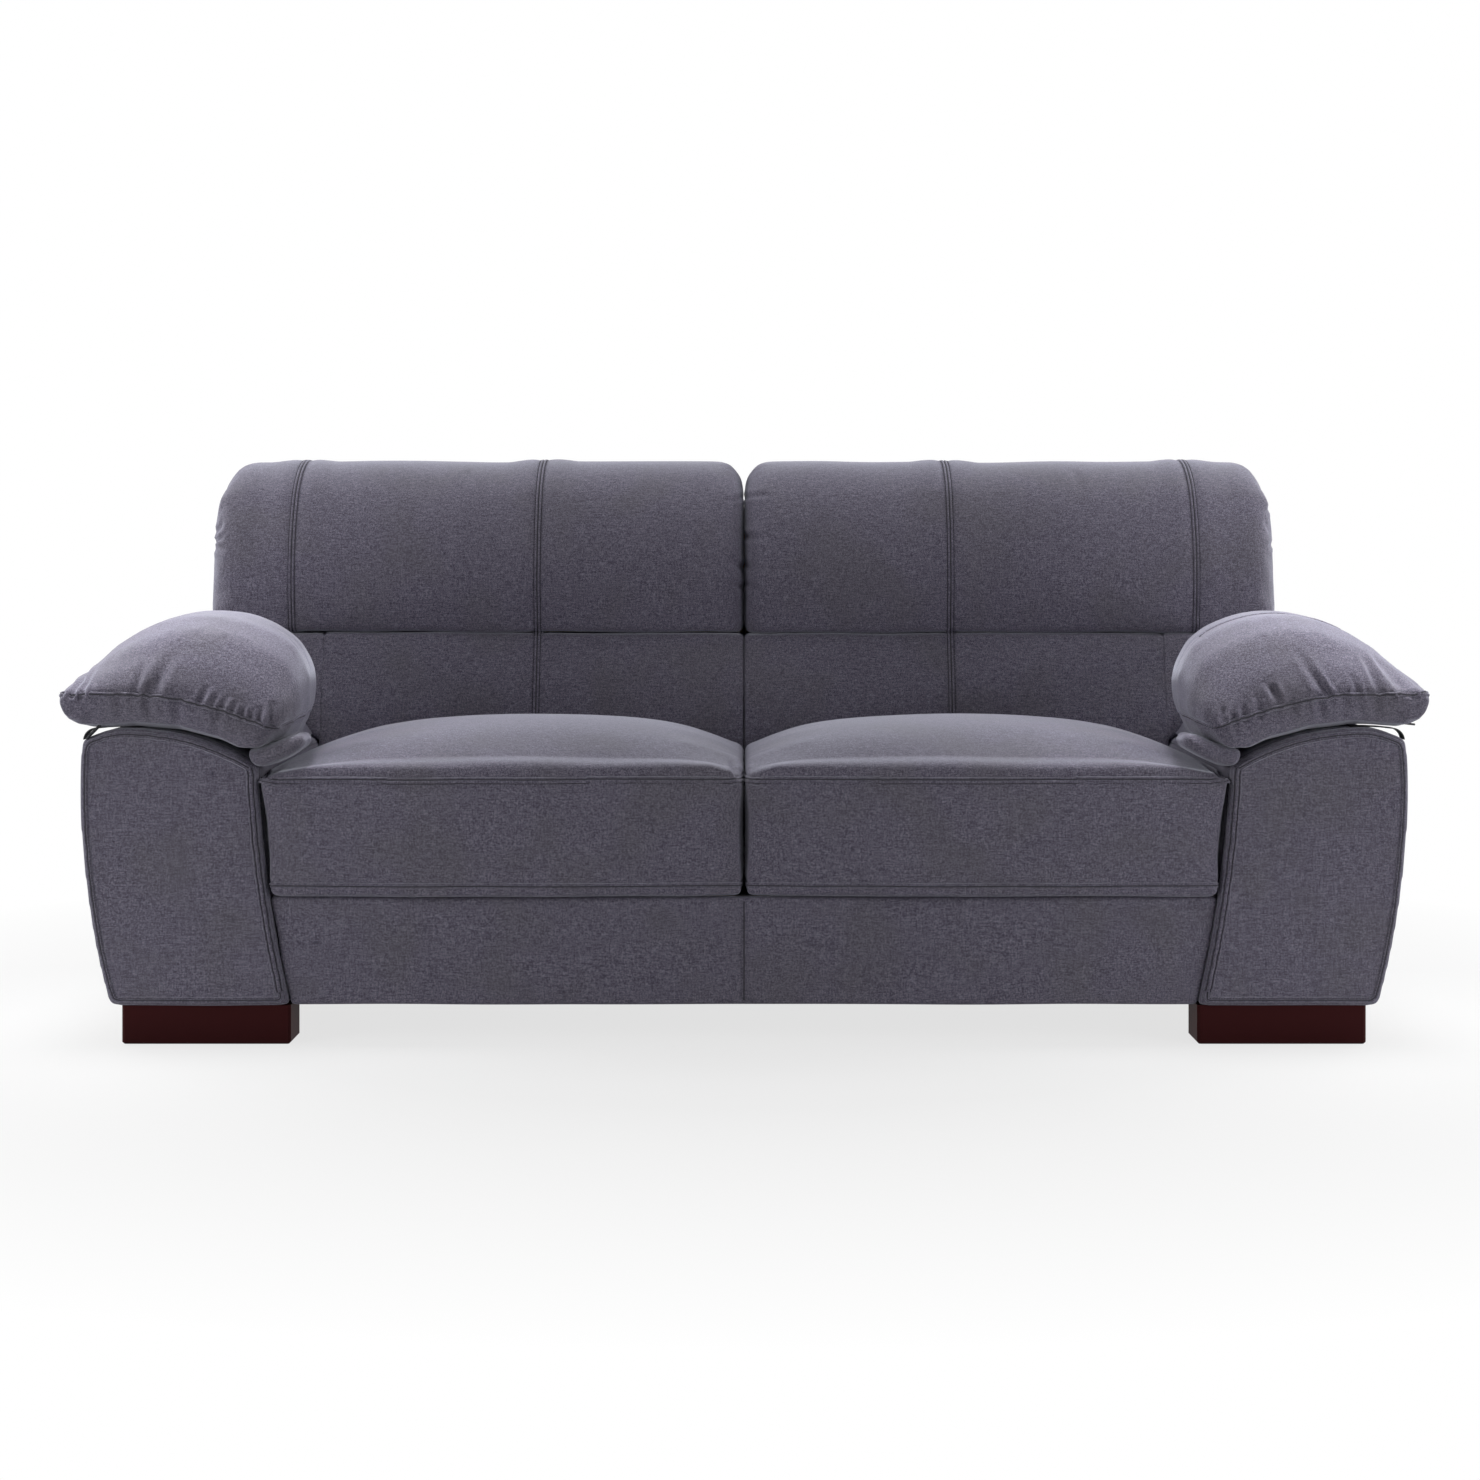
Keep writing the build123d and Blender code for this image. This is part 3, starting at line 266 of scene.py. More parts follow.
# Arms: padded front and rear panels and outer, inner and top walls, each of board, thin foam and
# cloth, pulled tight over the edge and stapled behind. A stitched seam runs round the front
# panel, with a welt down its inner edge.


def skin_of(name, source, square):
    """A closed piece made of a CAD solid's skin, remeshed into even squares."""
    whole = bmesh.new()
    whole.from_mesh(nodes[source].data)
    bmesh.ops.remove_doubles(whole, verts=whole.verts, dist=0.00001)
    mesh = bpy.data.meshes.new(name)
    whole.to_mesh(mesh)
    whole.free()
    piece = bpy.data.objects.new(name, mesh)
    bpy.context.scene.collection.objects.link(piece)
    remesh = piece.modifiers.new("even_squares", "REMESH")
    remesh.mode = "VOXEL"
    remesh.voxel_size = square
    settle(piece)
    whole = bmesh.new()
    whole.from_mesh(piece.data)
    left = set(whole.verts)
    shells = []
    while left:
        shell = [left.pop()]
        for vertex in shell:
            for edge in vertex.link_edges:
                other = edge.other_vert(vertex)
                if other in left:
                    left.remove(other)
                    shell.append(other)
        shells.append(shell)
    shells.sort(key=len)
    bmesh.ops.delete(whole, geom=[v for shell in shells[:-1] for v in shell], context="VERTS")
    whole.to_mesh(piece.data)
    whole.free()
    return piece


def settle(piece):
    """Applies a piece's modifiers."""
    seen = piece.evaluated_get(bpy.context.evaluated_depsgraph_get())
    mesh = bpy.data.meshes.new_from_object(seen)
    old = piece.data
    piece.modifiers.clear()
    piece.data = mesh
    bpy.data.meshes.remove(old)
    mesh.name = piece.name


def rounded(piece, times):
    """Rounds a piece's edges."""
    smooth = piece.modifiers.new("rounded", "SMOOTH")
    smooth.factor = 0.5
    smooth.iterations = times
    settle(piece)


def filled(piece, source):
    """Stretches a piece back to its CAD solid's box, which rounding has drawn it away from."""
    low, high = (np.array(corner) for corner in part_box(source))
    co, _ = points_of(piece)
    move_points(piece, low + (co - co.min(0)) * (high - low) / (co.max(0) - co.min(0)))


def pulled_to(piece, source, slack=0.0008):
    """Pulls a cover tight over its CAD solid, no more than slack inside it."""
    solid = bmesh.new()
    solid.from_mesh(nodes[source].data)
    tree = BVHTree.FromBMesh(solid)
    co, _ = points_of(piece)
    for i, place in enumerate(co):
        near, out, _, _ = tree.find_nearest(place)
        beyond = (Vector(place) - near).dot(out)
        co[i] -= np.array(out) * (beyond - min(max(beyond, -slack), 0))
    solid.free()
    move_points(piece, co)


def refined(piece):
    """Halves a piece's squares, smoothly."""
    finer = piece.modifiers.new("finer", "SUBSURF")
    finer.levels = finer.render_levels = 1
    settle(piece)


def thinned(piece, share):
    """Takes a plain piece's triangles down to a share."""
    fewer = piece.modifiers.new("fewer", "DECIMATE")
    fewer.ratio = share
    settle(piece)


def points_of(piece):
    """Places and normals of a piece's vertices."""
    vertices = piece.data.vertices
    co = np.empty(len(vertices) * 3, np.float32)
    no = np.empty(len(vertices) * 3, np.float32)
    vertices.foreach_get("co", co)
    vertices.foreach_get("normal", no)
    return co.reshape(-1, 3).astype(float), no.reshape(-1, 3).astype(float)


def move_points(piece, co):
    piece.data.vertices.foreach_set("co", co.astype(np.float32).ravel())
    piece.data.update()


def fitted(piece, source, proud):
    """Keeps a piece inside its CAD solid, but for what proud(place, normal) lets stand out."""
    solid = bmesh.new()
    solid.from_mesh(nodes[source].data)
    tree = BVHTree.FromBMesh(solid)
    co, no = points_of(piece)
    for i, (place, normal) in enumerate(zip(co, no)):
        near, out, _, _ = tree.find_nearest(place)
        beyond = (Vector(place) - near).dot(out)
        allowed = proud(place, normal)
        if beyond > allowed:
            co[i] = place - np.array(out) * (beyond - allowed)
    solid.free()
    move_points(piece, co)


def swelled(piece, held, shrink, cap, pressure=4.0, frames=20):
    """Stuffs a piece by cloth simulation, from a little smaller. Vertices in held stay, as sewn."""
    co, no = points_of(piece)
    still = np.nonzero(held(co, no))[0]
    tree = KDTree(len(still))
    for i in still:
        tree.insert(co[i], int(i))
    tree.balance()
    away = np.array([tree.find(p)[2] for p in co])
    co -= no * (shrink * np.clip(away / 0.06, 0, 1))[:, None]
    move_points(piece, co)
    pins = piece.vertex_groups.new(name="sewn")
    pins.add([int(i) for i in still], 1.0, "REPLACE")
    stuffing = piece.modifiers.new("stuffing", "CLOTH")
    cloth = stuffing.settings
    cloth.quality = 4
    cloth.mass = 0.3
    cloth.tension_stiffness = cloth.compression_stiffness = 12
    cloth.shear_stiffness = 5
    cloth.bending_stiffness = 1.5
    cloth.use_pressure = True
    cloth.uniform_pressure_force = pressure
    cloth.effector_weights.gravity = 0
    cloth.vertex_group_mass = "sewn"
    stuffing.collision_settings.use_collision = False
    stuffing.point_cache.frame_start = 1
    stuffing.point_cache.frame_end = frames
    for step in range(1, frames + 1):
        bpy.context.scene.frame_set(step)
    settle(piece)
    bpy.context.scene.frame_set(1)
    grown, _ = points_of(piece)
    moved = grown - co
    far = np.linalg.norm(moved, axis=1, keepdims=True)
    move_points(piece, co + moved * np.minimum(1, cap / np.maximum(far, 1e-9)))


def section(piece, place, normal, keep):
    """Points where a plane cuts a piece, in order, in the part that keep(point) wants."""
    cut = bmesh.new()
    cut.from_mesh(piece.data)
    whole = bmesh.ops.bisect_plane(cut, geom=[*cut.verts, *cut.edges, *cut.faces], plane_co=place,
                                   plane_no=normal)["geom_cut"]
    wanted = {v for v in whole if isinstance(v, bmesh.types.BMVert) and keep(v.co)}
    runs = []
    while wanted:
        run = [wanted.pop()]
        for end in (0, -1):
            while True:
                ahead = [e.other_vert(run[end]) for e in run[end].link_edges]
                ahead = [v for v in ahead if v in wanted]
                if not ahead:
                    break
                wanted.remove(ahead[0])
                run.insert(0, ahead[0]) if end == 0 else run.append(ahead[0])
        runs.append(run)
    longest = max(runs, key=len)
    points = [v.co.copy() for v in longest]
    if longest[0] in [e.other_vert(longest[-1]) for e in longest[-1].link_edges]:
        points.append(points[0].copy())
    cut.free()
    return points


def spaced(points, step):
    """The same path with its points an even step apart."""
    ends = [0.0]
    for a, b in zip(points, points[1:]):
        ends.append(ends[-1] + (b - a).length)
    count = max(2, round(ends[-1] / step))
    made, i = [], 0
    for k in range(count + 1):
        at = ends[-1] * k / count
        while i < len(points) - 2 and ends[i + 1] < at:
            i += 1
        share = (at - ends[i]) / max(ends[i + 1] - ends[i], 1e-9)
        made.append(points[i].lerp(points[i + 1], min(max(share, 0), 1)))
    return made


def eased(points, times):
    """Evens a path out, with its ends kept."""
    for _ in range(times):
        between = [(a + b * 2 + c) / 4 for a, b, c in zip(points, points[1:], points[2:])]
        points = [points[0], *between, points[-1]]
    return points


def laid_on(piece, points):
    """The path brought onto a piece, and the piece's outward direction at each point."""
    solid = bmesh.new()
    solid.from_mesh(piece.data)
    tree = BVHTree.FromBMesh(solid)
    hits = [tree.find_nearest(p) for p in points]
    solid.free()
    normals = eased([hit[1] for hit in hits], 3)
    return [hit[0] for hit in hits], [n.normalized() for n in normals]


def drawn_in(piece, points, depth, width, gathers=()):
    """Draws cloth in along a seam. Each gather: place along it, length, depth, lean and side."""
    path = spaced(points, 0.003)
    tree = KDTree(len(path))
    for i, point in enumerate(path):
        tree.insert(point, i)
    tree.balance()
    reach = max([3 * width] + [2.5 * g[1] for g in gathers])
    low = np.min([p[:] for p in path], 0) - reach
    high = np.max([p[:] for p in path], 0) + reach
    co, no = points_of(piece)
    for i in np.nonzero(((co > low) & (co < high)).all(1))[0]:
        near, k, far = tree.find(co[i])
        if far > reach:
            continue
        pull = depth * math.exp(-((far / width) ** 2))
        along = k * 0.003
        over = 1 if co[i][2] > near.z else -1
        for at, length, deep, lean, side in gathers:
            if side == over:
                aside = (along - at - lean * far) / 0.0055
                if abs(aside) < 3:
                    pull += deep * math.exp(-aside * aside) * math.exp(-((far / length) ** 2))
        co[i] -= no[i] * pull
    move_points(piece, co)


def sewn(name, piece, points, profile, body, rows=(), lift=0, step=0.006):
    """A seam laid on a piece. Its profile is across and out, in mm; rows are topstitched."""
    places, normals = laid_on(piece, eased(spaced(points, step), 2))
    closed = (places[0] - places[-1]).length < 1e-4
    strip = bmesh.new()
    depth = strip.verts.layers.float.new("depth")
    rings = []
    asides = []
    for i, (place, normal) in enumerate(zip(places, normals)):
        before = places[i - 1] if i else places[-2] if closed else place
        after = places[i + 1] if i + 1 < len(places) else places[1] if closed else place
        asides.append((after - before).normalized().cross(normal).normalized())
        ring = []
        for across, out in profile:
            ring.append(strip.verts.new(place + asides[i] * across / 1000
                                        + normal * (out + lift) / 1000))
            ring[-1][depth] = out
        rings.append([strip.edges.new(pair) for pair in zip(ring, ring[1:] + ring[:1])])
    for a, b in zip(rings, rings[1:]):
        bmesh.ops.bridge_loops(strip, edges=a + b)
    if closed:
        bmesh.ops.remove_doubles(strip, verts=strip.verts, dist=0.00002)
    else:
        bmesh.ops.holes_fill(strip, edges=rings[0] + rings[-1], sides=0)
    bmesh.ops.recalc_face_normals(strip, faces=strip.faces)
    for face in strip.faces:
        # Faces at the groove's depth take the thread's dark colour: partly the stitch line, partly
        # painted shade in the seam's gap.
        face.material_index = all(abs(v[depth] - groove) < 0.001 for v in face.verts)
    if rows:
        lines = bpy.data.curves.new(name + "_thread", "CURVE")
        lines.dimensions = "3D"
        lines.bevel_depth = 0.00045
        lines.bevel_resolution = 1
        lines.use_fill_caps = True
        for across in rows:
            row = [place + aside * across / 1000 for place, aside in zip(places, asides)]
            fine = spaced(row, stitch / 4)
            line = lines.splines.new("POLY")
            line.points.add(len(fine) - 1)
            for k, point in enumerate(fine):
                upward = normals[min(k * len(normals) // len(fine), len(normals) - 1)]
                dip = 0.0006 * math.cos(k * math.pi / 2) + 0.0006 + lift / 1000
                line.points[k].co = (*(point + upward * dip), 1)
        thread = bpy.data.objects.new(name + "_thread", lines)
        bpy.context.scene.collection.objects.link(thread)
        old = len(strip.faces)
        strip.from_mesh(bpy.data.meshes.new_from_object(thread))
        strip.faces.ensure_lookup_table()
        for face in strip.faces[old:]:
            face.material_index = 1
        bpy.data.objects.remove(thread)
    mesh = bpy.data.meshes.new(name)
    strip.to_mesh(mesh)
    strip.free()
    seam = bpy.data.objects.new(name, mesh)
    bpy.context.scene.collection.objects.link(seam)
    dress(seam, body)
    seam.data.materials.append(thread_and_groove_shade)


def creased(piece, folds, seen=-1):
    """Folds pressed into a piece's front (seen -1) or back: x and z of both ends, depth, width."""
    co, no = points_of(piece)
    front = np.clip((no[:, 1] * seen + 0.35) / 0.3, 0, 1)
    flat = co[:, (0, 2)]
    for x0, z0, x1, z1, deep, width in folds:
        start, run = np.array((x0, z0)), np.array((x1 - x0, z1 - z0))
        length = np.linalg.norm(run)
        share = (flat - start) @ run / length**2
        aside = np.abs((flat - start) @ np.array((-run[1], run[0]))) / length / (width / 1000)
        fade = np.where(share < 0, np.exp(-((share * length / 0.006) ** 2)),
                        np.cos(np.clip(share, 0, 1) * math.pi / 2) ** 0.8)
        pull = np.exp(-(aside**2)) - 0.45 * np.exp(-(((aside - 1.8) / 0.8) ** 2))
        co -= no * (front * fade * pull * deep / 1000)[:, None]
    move_points(piece, co)


def worked_up(piece, keep):
    """Splits the squares of the part of a piece that keep(point) wants."""
    whole = bmesh.new()
    whole.from_mesh(piece.data)
    edges = {e for f in whole.faces if keep(f.calc_center_median()) for e in f.edges}
    bmesh.ops.subdivide_edges(whole, edges=list(edges), cuts=1, use_grid_fill=True)
    whole.to_mesh(piece.data)
    whole.free()


def rumpled(piece, height, size):
    """Slack of the cloth: soft hollows and swells, their height and length along each axis."""
    co, no = points_of(piece)
    lift = np.array([noise.noise((p[0] / size[0], p[1] / size[1], p[2] / size[2])) for p in co])
    move_points(piece, co + no * (lift * height)[:, None])


def dress(piece, body):
    """Smooth shading, cloth and the body it rides on."""
    piece.data.materials.append(weave)
    piece.data.shade_smooth()
    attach(piece, body)


stitch = 0.0045
groove = 0.4
plain_seam = ((-5, -1.2), (-4, 0.3), (-1.9, 2.0), (-0.9, groove), (0.9, groove), (1.9, 2.0),
              (4, 0.3), (5, -1.2))
twin_seam = ((-9, -1.2), (-8, 0.3), (-6.9, 1.6), (-6.3, groove), (-5.1, groove), (-4.4, 2.1),
             (-1.9, 2.4), (-0.9, groove), (0.9, groove), (1.9, 2.4), (4.4, 2.1), (5.1, groove),
             (6.3, groove), (6.9, 1.6), (8, 0.3), (9, -1.2))
pad_edge = ((-4.4, -1.2), (-3.4, 0.3), (-2, 1.6), (-1.2, groove), (1.2, groove), (2, 1.6),
            (3.4, 0.3), (4.4, -1.2))
welt = ((-7, -1.2), (-6, 0.3), (-4.8, 1.4), (-4.2, groove), (-2.9, groove), (-1.8, 2.8), (0, 3.4),
        (1.8, 2.8), (2.9, groove), (4.2, groove), (4.8, 1.4), (6, 0.3), (7, -1.2))
sides = (("left", -1), ("right", 1))  # and which way is out
shoulder_fall = 0.009  # the arms' outer shoulders are rounder than the solids'
seam_inset = 0.007  # from the front panel's edge
hem = 0.0035  # the outer and inner walls' covers are drawn this far down
corner_fill = 0.0025
plain_share = 0.3  # of the triangles, enough for a cover without folds
for side, out in sides:
    for part, fill in (("arm_front_panel", 0.9), ("arm_outer_wall", 0.95), ("arm_inner_wall", 0.95),
                       ("arm_top_wall", 0.95), ("arm_rear_panel", 0.95)):
        node = part + "_" + side
        cover = skin_of("cover_" + node, node, 0.004 if part == "arm_rear_panel" else 0.006)
        rounded(cover, 4)
        pulled_to(cover, node)
        if part in ("arm_outer_wall", "arm_inner_wall"):
            co, _ = points_of(cover)
            co[:, 2] -= hem * np.clip((0.075 - co[:, 2]) / 0.01, 0, 1)
            move_points(cover, co)
        co, _ = points_of(cover)
        co[:, 2] -= (shoulder_fall * np.clip((abs(co[:, 0]) - 0.955) / 0.05, 0, 1) ** 1.5
                     * np.clip((co[:, 2] - 0.42) / 0.06, 0, 1))
        move_points(cover, co)
        rumpled(cover, 0.0012, (0.11, 0.11, 0.16))
        if part == "arm_front_panel":
            co, _ = points_of(cover)
            corner = (np.clip((0.712 - abs(co[:, 0])) / 0.008, 0, 1)
                      * np.clip((0.072 - co[:, 2]) / 0.008, 0, 1))
            co[:, 0] -= out * corner_fill * corner
            co[:, 2] -= 0.002 * corner
            move_points(cover, co)
            refined(cover)
            edge = spaced(section(cover, (0, -0.428, 0), (0, 1, 0), lambda p: True), 0.008)
            middle = sum(edge, Vector()) / len(edge)
            inset = []
            for before, here, after in zip(edge[-2:-1] + edge, edge, edge[1:] + edge[1:2]):
                inward = (after - before).normalized().cross(Vector((0, 1, 0)))
                if inward.dot(middle - here) < 0:
                    inward.negate()
                inset.append(here + inward * seam_inset + Vector((0, -0.02, 0)))
            if sum((a - middle).cross(b - middle).y for a, b in zip(inset, inset[1:])) < 0:
                inset.reverse()
            first = max(range(len(inset)), key=lambda i: abs(inset[i].x))
            inset = inset[first:] + inset[1 : first + 1]
            inner = [i for i, p in enumerate(inset) if abs(p.x) < 0.762 and 0.078 < p.z < 0.43]
            sewn("seam_arm_front_" + side, cover, inset[inner[-1] :] + inset[1 : inner[0] + 1],
                 plain_seam, "sofa_frame", rows=(3.2,), lift=0.7)
            sewn("welt_arm_front_" + side, cover, inset[inner[0] : inner[-1] + 1], welt,
                 "sofa_frame", rows=(-3.3, 3.3))
        else:
            thinned(cover, plain_share)
        dress(cover, "sofa_frame")
        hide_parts(node)

# Front border: a band of cloth over thin foam, pulled over the front rail and stapled under it.
# Its two halves are sewn together at the middle.
border = skin_of("border", "front_border", 0.0045)
rounded(border, 2)
pulled_to(border, "front_border", 0.0015)
rumpled(border, 0.0022, (0.24, 0.2, 0.07))
down = [Vector((0, -0.44, 0.228 - 0.006 * k)) for k in range(1, 28)]
drawn_in(border, down, 0.0015, 0.006)
sewn("seam_border", border, down, plain_seam, "sofa_frame", rows=(3.2,))
dress(border, "sofa_frame")
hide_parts("front_border")

# Seat cushions: box cushions of foam in fibre wrap, crowned, the cover sewn with a double
# stitched seam round the top and a plain one round the bottom.
top_seam_z = 0.409
low_seam_z = 0.245
cushion_seam = ((-4, -1.2), (-3, 0.3), (-1.8, 2.0), (-0.9, groove), (0.9, groove), (1.8, 2.3),
                (5, 2.0), (5.7, groove), (6.9, groove), (7.5, 1.4), (8.4, 0.3), (9.4, -1.2))
roll_depth = 0.05  # the boxing's padding rolls over the front edge
roll_rise = 0.012
cushion_end_x = 0.745
tucks = {
    "left": ((-0.008, 0.413, -0.022, 0.432, 4, 4), (-0.735, 0.412, -0.718, 0.424, 3, 5),
             (-0.06, 0.412, -0.075, 0.421, 1.2, 8)),
    "right": ((0.733, 0.413, 0.724, 0.428, 3.5, 4), (0.012, 0.413, 0.022, 0.422, 2.5, 5),
              (0.62, 0.412, 0.6, 0.42, 1.2, 8)),
}
for side, out in sides:
    cushion = skin_of("cushion_" + side, "seat_cushion_" + side, 0.008)
    rounded(cushion, 3)
    swelled(cushion, lambda co, no: (abs(co[:, 2] - top_seam_z) < 0.006)
            | (abs(co[:, 2] - low_seam_z) < 0.006) | (co[:, 2] < 0.24)
            | (abs(no[:, 0]) > 0.75) & (co[:, 1] > -0.38), 0.006, 0.014)
    fitted(cushion, "seat_cushion_" + side,
           lambda place, normal: 0.006 * max(0, normal[2], -normal[1]) ** 2)
    rumpled(cushion, 0.0022, (0.17, 0.14, 0.09))
    refined(cushion)
    co, _ = points_of(cushion)
    back = np.clip((co[:, 1] + 0.451) / roll_depth, 0, 1)
    middle = np.clip(np.minimum(abs(co[:, 0]) / 0.05, (cushion_end_x - abs(co[:, 0])) / 0.08), 0, 1)
    above = np.clip((co[:, 2] - top_seam_z) / 0.004, 0, 1)
    co[:, 2] += roll_rise * np.sin(math.pi * back**0.45) ** 1.2 * middle * above
    move_points(cushion, co)
    creased(cushion, tucks[side])
    for name, level, profile, depth, rows in (
        ("top", top_seam_z, cushion_seam, 0.003, (6.3,)),
        ("low", low_seam_z, plain_seam, 0.003, ()),
    ):
        path = section(cushion, (0, 0, level), (0, 0, 1), lambda p: p.y < 0.1)
        if (path[0].x < path[-1].x) != (name == "top"):
            path.reverse()
        for point in path:
            point.z += 0.0016 * noise.noise((point.x * 7, level * 50, out))
        drawn_in(cushion, path, depth, 0.007)
        sewn("seam_cushion_" + name + "_" + side, cushion, path, profile, side + "_seat", rows=rows,
             lift=1.6)
    dress(cushion, side + "_seat")
    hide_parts("seat_cushion_" + side)

# Lumbar pads: fibre pads between the deck and the valley of the back, each covered in two
# widths of cloth that are sewn together upright and stitched on both sides.
middle_seam_x = 0.367
outer_seam_x = 0.803
lumbar_end_x = 0.745


def meeting(piece, out, place=0, shift=-0.0015):
    """Presses the end of a piece that is near place across against its neighbour there."""
    co, no = points_of(piece)
    co[:, 0] += out * shift * np.clip((0.03 - abs(abs(co[:, 0]) - place)) / 0.02, 0, 1)
    move_points(piece, co)


valley_z = 0.618


def pressed(piece, up):
    """Brings a piece down or up onto the valley, which wavers a little, to close it."""
    co, _ = points_of(piece)
    end = co[:, 2].max() if up else co[:, 2].min()
    near = np.clip(1 - abs(co[:, 2] - valley_z) / 0.04, 0, 1)
    waver = np.array([noise.noise((x * 6, 4.2, 0)) for x in co[:, 0]]) * 0.004
    co[:, 2] += (valley_z - end + (0.001 if up else -0.001)) * near + waver * near**0.5
    move_points(piece, co)


for side, out in sides:
    lumbar = skin_of("lumbar_" + side, "lumbar_pad_" + side, 0.006)
    rounded(lumbar, 2)
    pulled_to(lumbar, "lumbar_pad_" + side, 0.002)
    rumpled(lumbar, 0.003, (0.2, 0.2, 0.1))
    meeting(lumbar, out)
    meeting(lumbar, out, lumbar_end_x, 0.002)
    pressed(lumbar, True)
    path = section(lumbar, (out * middle_seam_x, 0, 0), (1, 0, 0),
                   lambda p: p.y < 0.24 and p.z > 0.3)
    drawn_in(lumbar, [p for p in path if p.z < 0.6], 0.0025, 0.012)
    sewn("seam_lumbar_" + side, lumbar, path, twin_seam, "sofa_frame", rows=(-5.7, 5.7))
    dress(lumbar, "sofa_frame")
    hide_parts("lumbar_pad_" + side)

# Wings: the ends of the back that stand over the arms, of board and thin foam. Their cloth and
# that of the side panels behind them is pulled tight and stapled.
wing_inner_x = 0.746
side_panel_rise = 0.008  # its cover meets the head pillow's edge, over the rail's end
for side, out in sides:
    for part, square in (("back_wing", 0.006), ("back_side_panel", 0.004)):
        wing = skin_of("cover_" + part + "_" + side, part + "_" + side, square)
        rounded(wing, 3)
        pulled_to(wing, part + "_" + side)
        if part == "back_wing":
            meeting(wing, out, wing_inner_x, -0.002)
        else:
            co, _ = points_of(wing)
            co[:, 2] += side_panel_rise * np.clip((co[:, 2] - 0.83) / 0.015, 0, 1)
            move_points(wing, co)
        thinned(wing, plain_share)
        dress(wing, "sofa_frame")
        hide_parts(part + "_" + side)

# Head pillows: rolls of fibre over the top rail, parted by two upright seams each, which are
# stitched down on both sides. The cloth creases a little where the ends turn.
low_edge_z = 0.852  # of the pillows, behind
end_folds = {
    "left": ((-0.947, 0.782, -0.925, 0.79, 4, 4), (-0.947, 0.77, -0.918, 0.764, 2.5, 6),
             (-0.945, 0.80, -0.93, 0.812, 2.5, 5), (-0.71, 0.9, -0.7, 0.86, 1.2, 9),
             (-0.5, 0.905, -0.505, 0.855, 1.4, 10),
             (-0.006, 0.7, -0.035, 0.715, 3, 5), (-0.006, 0.735, -0.03, 0.752, 3, 6),
             (-0.006, 0.862, -0.03, 0.85, 2.5, 5)),
    "right": ((0.946, 0.775, 0.928, 0.77, 2.5, 5), (0.944, 0.84, 0.93, 0.83, 2, 5),
              (0.6, 0.905, 0.606, 0.86, 1.2, 10),
              (0.006, 0.862, 0.05, 0.866, 3, 5), (0.006, 0.79, 0.045, 0.786, 3.5, 6),
              (0.006, 0.74, 0.03, 0.722, 3, 6), (0.006, 0.705, 0.032, 0.69, 3, 5)),
}
for side, out in sides:
    pillow = skin_of("pillow_" + side, "head_pillow_" + side, 0.008)
    rounded(pillow, 4)
    swelled(pillow, lambda co, no: (abs(abs(co[:, 0]) - middle_seam_x) < 0.006)
            | (abs(abs(co[:, 0]) - outer_seam_x) < 0.006) | (co[:, 2] < 0.632)
            | ((no[:, 1] > 0.3) & (co[:, 2] < 0.86)) | (abs(co[:, 0]) < 0.006), 0.007, 0.014)
    fitted(pillow, "head_pillow_" + side, lambda place, normal: 0.004 * max(0, -normal[1]))
    rumpled(pillow, 0.0026, (0.13, 0.2, 0.2))
    refined(pillow)
    meeting(pillow, out)
    pressed(pillow, False)
    co, _ = points_of(pillow)
    turn = np.clip(1 - abs(co[:, 0]) / 0.045, 0, 1)
    co[:, 1] += 0.026 * (1 - np.sqrt(1 - turn**2)) * np.clip((0.33 - co[:, 1]) / 0.1, 0, 1)
    drop = 0.004 + 0.006 * np.clip((abs(co[:, 0]) - 0.85) / 0.05, 0, 1)
    co[:, 2] -= (drop * np.clip(1 - abs(co[:, 2] - low_edge_z) / 0.03, 0, 1)
                 * np.clip((co[:, 1] - 0.3) / 0.05, 0, 1))
    move_points(pillow, co)
    creased(pillow, end_folds[side])
    for name, seam_x in (("middle", middle_seam_x), ("outer", outer_seam_x)):
        path = section(pillow, (out * seam_x, 0, 0), (1, 0, 0),
                       lambda p: p.z > 0.85 or p.y < 0.27)
        drawn_in(pillow, [p for p in path if p.z > 0.645], 0.005, 0.015)
        sewn("seam_pillow_" + name + "_" + side, pillow, path, twin_seam, "sofa_frame",
             rows=(-5.7, 5.7))
    dress(pillow, "sofa_frame")
    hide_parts("head_pillow_" + side)

# Outside back: cloth pulled over a thin panel, stapled under the frame and closed at the sides.
low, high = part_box("outside_back")
outside = bmesh.new()
outside.from_mesh(nodes["outside_back"].data)
bmesh.ops.remove_doubles(outside, verts=outside.verts, dist=0.00001)
bmesh.ops.dissolve_limit(outside, verts=outside.verts, edges=outside.edges, angle_limit=0.01)
for axis, count in ((0, 63), (2, 26)):
    for k in range(1, count):
        place, normal = Vector(), Vector()
        place[axis] = low[axis] + (high[axis] - low[axis]) * k / count
        normal[axis] = 1
        bmesh.ops.bisect_plane(outside, geom=[*outside.verts, *outside.edges, *outside.faces],
                               plane_co=place, plane_no=normal)
for vertex in outside.verts:
    x, y, z = vertex.co
    inside = min(1, (0.94 - abs(x)) / 0.1, (high.z - z) / 0.08, (z - low.z) / 0.08)
    if inside > 0 and vertex.normal.y > 0.5:
        slack = noise.noise((x * 5, 3, z * 2.4)) * 0.0035 + noise.noise((x * 14, 5, z * 9)) * 0.001
        vertex.co.y += slack * inside
mesh = bpy.data.meshes.new("outside_back_cloth")
outside.to_mesh(mesh)
outside.free()
outside = bpy.data.objects.new("outside_back_cloth", mesh)
bpy.context.scene.collection.objects.link(outside)
dress(outside, "sofa_frame")
outside.data.shade_flat()
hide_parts("outside_back")

